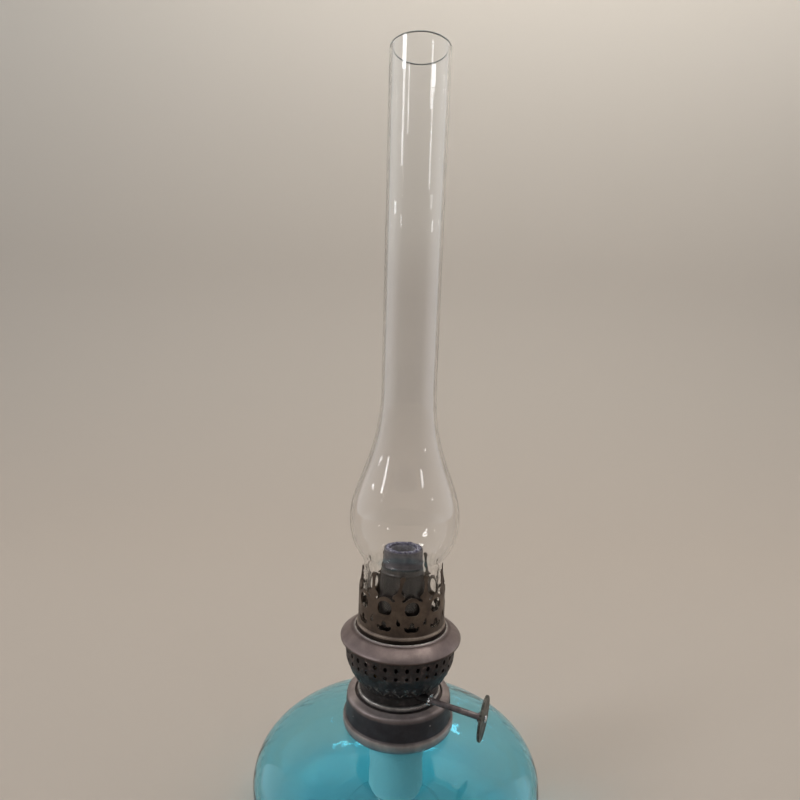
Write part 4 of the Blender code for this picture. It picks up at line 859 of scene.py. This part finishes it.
def make_crown():
    pitch = tau * CROWN_RADIUS / CROWN_PERIODS
    window = [(0, 23.7), (2.1, 23.2), (3.6, 21.9), (4.3, 19.4), (4.1, 17.7), (2.84, 15.9), (0, 15.9)]
    anchor = [(0, 12.5), (1.25, 11.7), (1.25, 9.95), (2.4, 9.1), (3.4, 10.1), (4.45, 9.5), (3.7, 7.57),
              (2.1, 6.7), (0, 7.05)]
    tear = [(0, 2.3), (0.6, 0.8), (1.2, -0.9), (0.9, -2.0), (0, -2.3)]
    notch = [(0, 25.83), (2.59, 25.16), (4.71, 23.4), (5.73, 23.67), (5.97, 24.6), (4.16, 25.56), (4.40, 26.37),
             (6.44, 27.99), (6.91, 29.34), (6.95, 34.07), (6.20, 35.3), (6.45, 36.4), (7.0, 36.9)]
    window, anchor, tear = (rounded(mirrored(sized(half)), 1) for half in (window, anchor, tear))
    outline = crown_wall_outline(pitch, sized(notch), 5.3 * MM)
    loops = []
    for number, lean in enumerate((radians(14), radians(-14))):
        tilted = turned_about(tear, (-pitch / 2, 12.5 * MM), lean)
        for loop in (outline, window, anchor, tilted):
            loops.append([((x + number * pitch) / (2 * pitch), y) for x, y in loop])
    cuts = 28
    first = min(x for x, y in loops[0])
    last = max(x for x, y in loops[4])
    x_cuts = [first + (last - first) * step / cuts for step in range(1, cuts)]
    y_cuts = [height * MM for height in (8, 14.2, 20, 25, 27.5, 30, 32.5, 35)]
    column = flat_column("crown_column", loops, x_cuts, y_cuts)
    bend = CROWN_BASE + 23.4 * MM
    line = [(CROWN_RADIUS, CROWN_BASE), (CROWN_RADIUS, bend), (CROWN_RADIUS - 1.4 * MM, CROWN_BASE + 36.9 * MM)]
    mesh = rolled_sheet("crown_wall", column, line, CROWN_PERIODS // 2, CROWN_TURN, 0.6 * MM, DARK_BRONZE_AND_LIGHT)
    leans = [radians(degrees) for degrees in (1.5, 2, -1, 2.5, 1.8, -1.5, 2.2, 1, -2, 5.5)]
    lean_prongs(mesh, leans, CROWN_TURN + pi / CROWN_PERIODS, CROWN_BASE + 27.5 * MM)
    smooth(mesh)
    put("crown_wall", mesh, DARK_BRONZE_AND_LIGHT, "crown", "crown_gallery")
    bead_low = CROWN_BASE + 2.3 * MM
    foot = eased([
        (25.0 * MM, bead_low + 2.0 * MM), (25.15 * MM, bead_low + 1.8 * MM, 0.2 * MM),
        (25.8 * MM, bead_low + 1.5 * MM, 0.7 * MM), (25.8 * MM, bead_low + 0.3 * MM, 0.7 * MM),
        (24.9 * MM, bead_low, 0.3 * MM), (24.5 * MM, bead_low - 0.1 * MM, 0.2 * MM), (24.5 * MM, CROWN_BASE, 0.2 * MM),
        (23.9 * MM, CROWN_BASE, 0.2 * MM), (23.9 * MM, bead_low + 1.8 * MM), (19.5 * MM, bead_low + 1.8 * MM),
        (19.5 * MM, bead_low + 2.4 * MM), (24.3 * MM, bead_low + 2.4 * MM)], closed=True)
    put("crown_foot", lathe("crown_foot", foot, 160, True), DARK_BRONZE_AND_LIGHT, "crown", None)


# Wick tube and wick
def carve(obj, low, high, matrix, round_to=None):
    """Cut a box, or a rod along X, out of an object."""
    work = bmesh.new()
    if round_to is None:
        corners = bmesh.ops.create_cube(work, size=1)["verts"]
        middle = [(a + b) / 2 for a, b in zip(low, high)]
        size = [b - a for a, b in zip(low, high)]
        shape = Matrix.Translation(middle) @ Matrix.Diagonal((*size, 1))
    else:
        corners = bmesh.ops.create_cone(work, cap_ends=True, segments=48, radius1=round_to, radius2=round_to,
                                        depth=high - low)["verts"]
        shape = Matrix.Translation(((low + high) / 2, 0, 0)) @ Matrix.Rotation(pi / 2, 4, "Y")
    bmesh.ops.transform(work, matrix=matrix @ shape, verts=corners)
    mesh = bpy.data.meshes.new("cutter")
    work.to_mesh(mesh)
    work.free()
    cutter = shown("cutter", mesh)
    cut = obj.modifiers.new("cut", "BOOLEAN")
    cut.operation = "DIFFERENCE"
    cut.solver = "EXACT"
    cut.object = cutter
    settle(obj)
    bpy.data.objects.remove(cutter)


def make_wick_tube():
    """Belly, taper and straight tip, with two shallow beads where the tube was swaged."""
    wide = 13.1 * MM
    slim = TUBE_RADIUS
    tip = TUBE_TOP - 7 * MM
    path = eased([
        (slim - 0.1 * MM, TUBE_TOP), (slim, TUBE_TOP - 0.4 * MM, 0.4 * MM), (slim, tip, 2 * MM),
        (slim + 0.75 * MM, tip - 0.8 * MM, 0.5 * MM), (slim + 0.3 * MM, tip - 1.9 * MM, 0.5 * MM),
        (slim + 0.45 * MM, tip - 4.6 * MM, 0.8 * MM), (slim + 1.25 * MM, tip - 5.5 * MM, 0.5 * MM),
        (slim + 0.9 * MM, tip - 6.7 * MM, 0.5 * MM), (wide, 140.2 * MM, 4 * MM), (wide, 101.3 * MM, 1.5 * MM),
        (slim, 97.3 * MM, 1.5 * MM), (slim, TUBE_BASE)])
    tube = shown("tube_wall", sheet_lathe("tube_wall", path, 0.5 * MM, 120))
    carve(tube, (-5.3 * MM, 0, 100.9 * MM), (5.3 * MM, 15.4 * MM, 114.5 * MM), BURNER_TURN)
    for side in (-4.0 * MM, 4.0 * MM):
        carve(tube, side - 0.9 * MM, side + 0.9 * MM, FEED_MATRIX, 4.05 * MM)
    mesh = tube.data
    smooth(mesh)
    bpy.data.objects.remove(tube)
    return put("wick_tube_wall", mesh, SOOTED_TUBE_AND_SHADE, "burner", "wick_tube")


def wick_half_angle(height, radius):
    """Half of the angle that the band takes up, less the parting that lets it pass the air duct."""
    full = 28.6 * MM / radius
    parting = 5.6 * MM * min(max((132.8 * MM - height) / (10 * MM), 0), 1)
    if height < 60.3 * MM or parting == 0:
        return full
    return min(full, pi - asin(parting / radius))


def make_wick(tube):
    """The flat band rolled up in its tube, flared below, with a crumbled charred rim."""
    thick = 2.7 * MM
    tail = 22.3 * MM
    flare_top, flare_low, flare = 73.3 * MM, 47.3 * MM, 14 * MM
    heights = [tail + (158 * MM - tail) * step / 48 for step in range(48)]
    heights += [158 * MM + (WICK_TOP - 158 * MM) * step / 20 for step in range(21)]
    columns = 144
    seed = Vector((3.1, 7.7, 1.9))
    work = bmesh.new()
    rings = []
    for height in heights:
        fall = min(max((flare_top - height) / (flare_top - flare_low), 0), 1)
        radius = WICK_RADIUS + (flare - WICK_RADIUS) * (1 - cos(pi * fall)) / 2
        half = wick_half_angle(height, radius)
        turns = [half * (2 * column / columns - 1) for column in range(columns + 1)]
        across = [(radius + thick / 2, turn) for turn in turns] + [(radius - thick / 2, turn) for turn in turns[::-1]]
        rings.append([work.verts.new((r * sin(turn), -r * cos(turn), height)) for r, turn in across])
    count = len(rings[0])
    for upper, lower in zip(rings[1:], rings):
        for side in range(count):
            after = (side + 1) % count
            work.faces.new((lower[side], lower[after], upper[after], upper[side]))
    bridge_rows = 6
    for ring, up in ((rings[0], False), (rings[-1], True)):
        outer, inner = ring[:columns + 1], ring[columns + 1:][::-1]
        lines = [outer]
        for row in range(1, bridge_rows):
            lines.append([work.verts.new(a.co.lerp(b.co, row / bridge_rows)) for a, b in zip(outer, inner)])
        lines.append(inner)
        for near, far in zip(lines, lines[1:]):
            for side in range(columns):
                face = (near[side], near[side + 1], far[side + 1], far[side])
                work.faces.new(face if up else face[::-1])
        for side, turn_over in ((0, not up), (columns, up)):
            rim = [line[side] for line in lines]
            work.faces.new(rim if turn_over else rim[::-1])
    for vertex in work.verts:
        near = min(max((vertex.co.z - 157 * MM) / (6 * MM), 0), 1)
        if near:
            lump = noise.noise(vertex.co / (1.6 * MM) + seed) * 0.3 + noise.noise(vertex.co / (0.7 * MM)) * 0.16
            radius = hypot(vertex.co.x, vertex.co.y)
            away = max(min((radius - WICK_RADIUS) / (thick / 2), 1), -1)
            vertex.co.xy *= 1 + away * (lump - 0.25) * 0.7 * MM * near / radius
            if vertex.co.z > WICK_TOP - 1 * MM:
                vertex.co.z += (lump * 2.4 - 0.7 - 0.5 * abs(away)) * MM
    bmesh.ops.recalc_face_normals(work, faces=work.faces)
    work.transform(BURNER_TURN)
    mesh = bpy.data.meshes.new("rolled_wick")
    work.to_mesh(mesh)
    work.free()
    smooth(mesh, radians(50))
    wick = put("rolled_wick", mesh, COTTON, "wick", "wick")


# Wick feed
def fluting_tree():
    """Press even flutes into everything beyond a radius."""
    tree, start, end = new_tree("rim_flutes", [
        ("Flutes", "NodeSocketFloat"), ("Depth", "NodeSocketFloat"), ("Beyond", "NodeSocketFloat"),
        ("Finish", "NodeSocketMaterial")])
    place = node(tree, "GeometryNodeInputPosition")
    parts = node(tree, "ShaderNodeSeparateXYZ", None, {"Vector": place.outputs[0]})
    angle = node(tree, "ShaderNodeMath", {"operation": "ARCTAN2"}, {0: parts.outputs["Y"], 1: parts.outputs["X"]})
    phase = node(tree, "ShaderNodeMath", {"operation": "MULTIPLY"}, {0: angle.outputs[0], 1: start.outputs["Flutes"]})
    wave = node(tree, "ShaderNodeMath", {"operation": "COSINE"}, {0: phase.outputs[0]})
    dip = node(tree, "ShaderNodeMath", {"operation": "MULTIPLY_ADD"}, {0: wave.outputs[0], 1: 0.5, 2: -0.5})
    depth = node(tree, "ShaderNodeMath", {"operation": "MULTIPLY"}, {0: dip.outputs[0], 1: start.outputs["Depth"]})
    flat = node(tree, "ShaderNodeCombineXYZ", None, {"X": parts.outputs["X"], "Y": parts.outputs["Y"]})
    far = node(tree, "ShaderNodeVectorMath", {"operation": "LENGTH"}, {0: flat.outputs[0]})
    chosen = node(tree, "FunctionNodeCompare", {"operation": "GREATER_THAN"}, {0: far.outputs["Value"], 1: start.outputs["Beyond"]})
    out = node(tree, "ShaderNodeVectorMath", {"operation": "NORMALIZE"}, {0: flat.outputs[0]})
    push = node(tree, "ShaderNodeVectorMath", {"operation": "SCALE"}, {0: out.outputs[0], "Scale": depth.outputs[0]})
    moved = node(tree, "GeometryNodeSetPosition", None, {
        "Geometry": start.outputs["Geometry"], "Selection": chosen.outputs[0], "Offset": push.outputs[0]})
    whole = node(tree, "GeometryNodeRealizeInstances", None, {"Geometry": moved.outputs[0]})
    painted = node(tree, "GeometryNodeSetMaterial", None, {
        "Geometry": whole.outputs[0], "Material": start.outputs["Finish"]})
    tree.links.new(painted.outputs[0], end.inputs[0])
    return tree


def along_feed(mesh, distance):
    """Stand a piece that was turned about Z on the feed axis, at a distance along it."""
    mesh.transform(FEED_MATRIX @ Matrix.Translation((distance, 0, 0)) @ Matrix.Rotation(pi / 2, 4, "Y"))
    return mesh


def make_feed():
    half = 0.65 * MM
    inside = FEED_REACH - half - 0.3 * MM
    rim = 11.4 * MM
    disc = eased([
        (1.2 * MM, half * 0.75, 0), (9.0 * MM, half * 0.75, 0.6 * MM), (9.8 * MM, half, 0.3 * MM), (rim, half, 0.25 * MM),
        (rim, -half, 0.25 * MM), (9.8 * MM, -half, 0.3 * MM), (9.0 * MM, -half * 0.75, 0.6 * MM),
        (1.2 * MM, -half * 0.75, 0)], closed=True)
    wheel = shown("thumb_disc", lathe("thumb_disc", disc, 336, True))
    run_tree(wheel, fluting_tree(), {"Flutes": 42.0, "Depth": 0.35 * MM, "Beyond": 10.9 * MM,
                                     "Finish": GREY_STEEL})
    mesh = settle(wheel)
    smooth(mesh)
    bpy.data.objects.remove(wheel)
    put("thumb_disc", along_feed(mesh, FEED_REACH), GREY_STEEL, "wick_knob", "thumb_wheel")

    shaft = eased([
        (0, inside), (1.6 * MM, inside, 0.2 * MM), (1.6 * MM, 40 * MM), (1.6 * MM, 20 * MM),
        (1.6 * MM, -10.2 * MM, 0.2 * MM), (0, -10.2 * MM)])
    put("feed_rod", along_feed(lathe("feed_rod", shaft, 48, False), 0), BROWNED_STEEL, "wick_knob", "feed_shaft")

    hub = eased([
        (1.9 * MM, inside), (2.4 * MM, inside, 0.1 * MM), (2.4 * MM, inside - 1.8 * MM, 0.3 * MM),
        (2.1 * MM, inside - 2.0 * MM, 0.1 * MM), (1.9 * MM, inside - 2.0 * MM)], closed=True)
    put("wheel_boss", along_feed(lathe("wheel_boss", hub, 48, True), 0), BROWNED_STEEL, "wick_knob", "wheel_hub")

    head = [(0, 0.9 * MM)] + bezier((0, 0.9 * MM), (1.1 * MM, 0.9 * MM), (1.9 * MM, 0.5 * MM), (1.9 * MM, 0), 8)
    head += [(0, 0)]
    put("rivet_head", along_feed(lathe("rivet_head", head, 32, False), FEED_REACH + half + 0.3 * MM), BRIGHT_STEEL,
        "wick_knob", "wheel_rivet")

    sleeve = eased([
        (1.9 * MM, 24.4 * MM), (2.0 * MM, 24.6 * MM, 0.1 * MM), (2.8 * MM, 24.4 * MM, 0.25 * MM),
        (2.6 * MM, 23.6 * MM, 0.4 * MM), (2.25 * MM, 22.8 * MM, 0.3 * MM), (2.35 * MM, 18.6 * MM, 0.3 * MM),
        (2.35 * MM, 16.6 * MM, 0.2 * MM), (1.9 * MM, 16.6 * MM)], closed=True)
    mesh = lathe("bush_sleeve", sleeve, 64, True)
    mesh.materials.append(BLACK_BRASS_AND_LIGHT)
    mesh.materials.append(BRIGHT_STEEL)
    for face in mesh.polygons:
        face.material_index = int(face.center.z > 23.2 * MM)
    for vertex in mesh.vertices:
        rise = (vertex.co.z - 22.5 * MM) / (2 * MM)
        if rise > 0:
            torn = noise.noise(vertex.co / (1.5 * MM) + Vector((5, 1, 0)))
            vertex.co.z += rise * (torn - 0.35) * 2.2 * MM
            vertex.co.xy *= 1 + rise * max(torn, 0) * 0.35
    put("bush_sleeve", along_feed(mesh, 0), None, "burner", "shaft_bush")


# Chimney
def blown_chimney_tree():
    """Turn arcs about the lamp's axis, one after the other, into the wall of a blown chimney."""
    stretches = (("Rim", "Rim", "Foot Top", "Foot Top", 7), ("Foot Top", "Bend Low", "Bend High", "Foot Spread", 9),
                 ("Foot Spread", "Bulb Rise", "Bulb Under", "Bulb", 21),
                 ("Bulb", "Bulb Over", "Waist Under", "Waist", 33), ("Waist", "Flue Rise", "Mouth Under", "Mouth", 25))
    labels = []
    for stretch in stretches:
        labels += [label for label in stretch[:4] if label not in labels]
    tree, start, end = new_tree("blown_chimney", [(label, "NodeSocketVector") for label in labels] + [
        ("Sides", "NodeSocketInt"), ("Weld", "NodeSocketFloat"), ("Finish", "NodeSocketMaterial")])
    place = node(tree, "GeometryNodeInputPosition")
    parts = node(tree, "ShaderNodeSeparateXYZ", None, {"Vector": place.outputs[0]})
    angle = node(tree, "ShaderNodeMath", {"operation": "MULTIPLY"}, {0: parts.outputs["X"], 1: tau})
    rise = node(tree, "ShaderNodeMath", {"operation": "ADD"}, {0: parts.outputs["Y"], 1: 0.5})
    turn = [node(tree, "ShaderNodeMath", {"operation": kind}, {0: angle.outputs[0]}) for kind in ("COSINE", "SINE")]
    around = node(tree, "ShaderNodeMath", {"operation": "ADD"}, {0: start.outputs["Sides"], 1: 1.0})
    whole = node(tree, "GeometryNodeJoinGeometry")
    for first, first_pull, last_pull, last, rows in stretches:
        arc = node(tree, "GeometryNodeCurvePrimitiveBezierSegment", {"mode": "POSITION"}, {
            "Resolution": 96, "Start": start.outputs[first], "Start Handle": start.outputs[first_pull],
            "End Handle": start.outputs[last_pull], "End": start.outputs[last]})
        spot = node(tree, "GeometryNodeSampleCurve", {"mode": "FACTOR"}, {
            "Curves": arc.outputs[0], "Factor": rise.outputs[0]})
        level = node(tree, "ShaderNodeSeparateXYZ", None, {"Vector": spot.outputs["Position"]})
        sides = [node(tree, "ShaderNodeMath", {"operation": "MULTIPLY"}, {
            0: level.outputs["X"], 1: way.outputs[0]}) for way in turn]
        point = node(tree, "ShaderNodeCombineXYZ", None, {
            "X": sides[0].outputs[0], "Y": sides[1].outputs[0], "Z": level.outputs["Z"]})
        grid = node(tree, "GeometryNodeMeshGrid", None, {
            "Size X": 1.0, "Size Y": 1.0, "Vertices X": around.outputs[0], "Vertices Y": rows})
        turned = node(tree, "GeometryNodeSetPosition", None, {
            "Geometry": grid.outputs[0], "Position": point.outputs[0]})
        tree.links.new(turned.outputs[0], whole.inputs[0])
    joined = node(tree, "GeometryNodeMergeByDistance", None, {
        "Geometry": whole.outputs[0], "Distance": start.outputs["Weld"]})
    real = node(tree, "GeometryNodeRealizeInstances", None, {"Geometry": joined.outputs[0]})
    painted = node(tree, "GeometryNodeSetMaterial", None, {
        "Geometry": real.outputs[0], "Material": start.outputs["Finish"]})
    tree.links.new(painted.outputs[0], end.inputs[0])
    return tree


def make_chimney():
    """Straight foot, bulb, long waisted flue: blown thin, ground at the foot and melted round at the mouth. The ground
    rim is painted pale as a painted highlight and the melted lip painted grey as painted shade.
    """
    points = {"Rim": (22.5, 0), "Foot Top": (22.5, 31.8), "Bend Low": (22.5, 34.2), "Bend High": (23.49, 35.81),
              "Foot Spread": (24.92, 37.74), "Bulb Rise": (28.89, 43.07), "Bulb Under": (31.40, 49.54),
              "Bulb": (31.4, 59.5), "Bulb Over": (31.4, 79.24), "Waist Under": (15.8, 93.34), "Waist": (15.8, 130),
              "Flue Rise": (15.8, 190.9), "Mouth Under": (16.733, 249.89), "Mouth": (17.2, 320.3)}
    values = {label: (radius * MM, 0.0, CHIMNEY_BASE + height * MM) for label, (radius, height) in points.items()}
    glass = shown("chimney_wall", bpy.data.meshes.new("chimney_wall"))
    run_tree(glass, blown_chimney_tree(), {**values, "Sides": 144, "Weld": 0.02 * MM, "Finish": CLEAR_GLASS})
    wall = glass.modifiers.new("wall", "SOLIDIFY")
    wall.thickness = 1.6 * MM
    wall.offset = -1
    wall.use_even_offset = True
    rims = glass.modifiers.new("soft_rims", "BEVEL")
    rims.width = 0.6 * MM
    rims.segments = 4
    rims.limit_method = "ANGLE"
    rims.angle_limit = radians(50)
    mesh = settle(glass)
    bpy.data.objects.remove(glass)
    mouth = max(vertex.co.z for vertex in mesh.vertices)
    # A thin row at each end keeps the rims' rounding out of the long walls' shading
    work = bmesh.new()
    work.from_mesh(mesh)
    for level in (CHIMNEY_BASE + 0.9 * MM, mouth - 0.9 * MM):
        bmesh.ops.bisect_plane(work, geom=work.verts[:] + work.edges[:] + work.faces[:], dist=1e-7,
                               plane_co=(0, 0, level), plane_no=(0, 0, 1))
    work.to_mesh(mesh)
    work.free()
    smooth(mesh)
    # Painted highlight on the foot's lowest faces and painted shade on the mouth's top faces
    mesh.materials.append(RIM_GLASS_HIGHLIGHT)
    mesh.materials.append(LIP_GLASS_SHADE)
    for face in mesh.polygons:
        if face.center.z < CHIMNEY_BASE + 0.62 * MM:
            face.material_index = 1
        elif face.center.z > mouth - 0.62 * MM:
            face.material_index = 2
    put("chimney_glass", mesh, None, "chimney", "chimney")


# Studio and camera
def make_studio():
    """A paper sweep that curves up behind the lamp, soft light from above and windows to both sides."""
    near, far, top, half, bend = -1.4, 1.0, 2.2, 1.3, 0.5
    floor = -0.3 * MM
    line = [(near, floor), (far - bend, floor)]
    line += [(far - bend + bend * sin(pi / 2 * step / 12), floor + bend - bend * cos(pi / 2 * step / 12))
             for step in range(1, 13)]
    line += [(far, top)]
    points = [(x, y, z) for y, z in line for x in (-half, half)]
    faces = [(2 * row, 2 * row + 1, 2 * row + 3, 2 * row + 2) for row in range(len(line) - 1)]
    mesh = bpy.data.meshes.new("paper_sweep")
    mesh.from_pydata(points, [], faces)
    smooth(mesh, radians(60))
    sweep = put("paper_sweep", mesh, PAPER, None)

    for name, place, aim, size, power, tint in (
            ("overhead_softbox", (-0.25, -0.3, 2.2), (0, 0, 0.1), (1.0, 0.8), 2.4, "#fffaf2"),
            ("wall_light", (0.35, 0.2, 1.9), (0.35, 1.0, 1.2), (1.8, 0.3), 15.0, "#fff8ee"),
            ("left_window", (-3.09, -1.64, 2.55), (0, 0, 0.35), (0.85, 0.7), 19.0, "#fbfdff"),
            ("left_sash", (-3.05, -1.72, 1.86), (0, 0, 0.35), (0.26, 0.62), 5.2, "#fbfdff"),
            ("right_window", (2.50, -2.45, 2.12), (0, 0, 0.35), (0.32, 0.4), 2.7, "#fbfdff"),
            ("left_pane", (-3.50, -0.18, 1.28), (0, 0, 0.35), (0.30, 0.08), 0.9, "#fbfdff"),
            ("right_pane", (3.18, -1.45, 1.31), (0, 0, 0.35), (0.18, 0.08), 0.5, "#fbfdff")):
        lamp = bpy.data.lights.new(name, "AREA")
        lamp.shape = "RECTANGLE"
        lamp.size, lamp.size_y = size
        lamp.energy = power
        lamp.color = linear(tint)[:3]
        light = shown(name, lamp)
        light.location = place
        light.rotation_euler = (Vector(aim) - Vector(place)).to_track_quat("-Z", "Y").to_euler()

    world = bpy.data.worlds.new("pale_room")
    bpy.context.scene.world = world
    world.use_nodes = True
    # The room is bright at the sides, softer overhead, and dim behind the camera
    tree = world.node_tree
    sky = tree.nodes["Background"]
    way = node(tree, "ShaderNodeTexCoord")
    parts = node(tree, "ShaderNodeSeparateXYZ", None, {"Vector": way.outputs["Generated"]})
    ahead = node(tree, "ShaderNodeMapRange", None, {"Value": parts.outputs["Y"], "From Min": -1.0, "From Max": 0.2})
    around = node(tree, "ShaderNodeValToRGB", {"stops": [
        (0.0, grey(0.14)), (0.3, grey(0.2)), (0.62, grey(0.66)), (1.0, grey(0.95))]}, {"Fac": ahead.outputs[0]})
    overhead = node(tree, "ShaderNodeMapRange", None, {
        "Value": parts.outputs["Z"], "From Min": 0.2, "From Max": 0.9, "To Min": 1.0, "To Max": 0.42})
    room = node(tree, "ShaderNodeMix", {"data_type": "RGBA", "blend_type": "MULTIPLY"}, {"Factor": 1.0})
    tree.links.new(around.outputs[0], room.inputs["A"])
    tree.links.new(overhead.outputs[0], room.inputs["B"])
    tree.links.new(room.outputs["Result"], sky.inputs["Color"])


def make_camera():
    pitch, yaw, roll = CAMERA_PITCH, CAMERA_YAW, CAMERA_ROLL
    ahead = Vector((sin(yaw) * cos(pitch), cos(yaw) * cos(pitch), -sin(pitch)))
    level = Vector((cos(yaw), -sin(yaw), 0))
    above = level.cross(ahead)
    right = cos(roll) * level + sin(roll) * above
    up = -sin(roll) * level + cos(roll) * above
    turn = Matrix((right, up, -ahead)).transposed().to_4x4()
    data = bpy.data.cameras.new("camera")
    data.sensor_width = SENSOR
    data.lens = CAMERA_LENS
    data.clip_start = 0.01
    camera = bpy.data.objects.new("camera", data)
    bpy.context.scene.collection.objects.link(camera)
    camera.matrix_world = Matrix.Translation(CAMERA_PLACE) @ turn
    bpy.context.scene.camera = camera


def dress_solids():
    """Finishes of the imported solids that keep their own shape."""
    for name, finish in (("neck_plaster", PLASTER), ("thread_ring", DULL_BRASS), ("base_plate", DULL_BRASS),
                         ("air_tube", SOOT_AND_SHADE), ("air_duct", DULL_BRASS), ("shaft_bracket", DULL_BRASS),
                         ("feed_wheel_inner", BROWNED_STEEL), ("feed_wheel_outer", BROWNED_STEEL)):
        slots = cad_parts[name].material_slots
        for slot in slots:
            slot.material = finish


make_fount()
make_collar()
make_cup()
make_basket()
make_flange()
make_crown()
make_wick(make_wick_tube())
make_feed()
make_chimney()
dress_solids()
make_studio()
make_camera()
bpy.context.scene.view_settings.view_transform = "Standard"
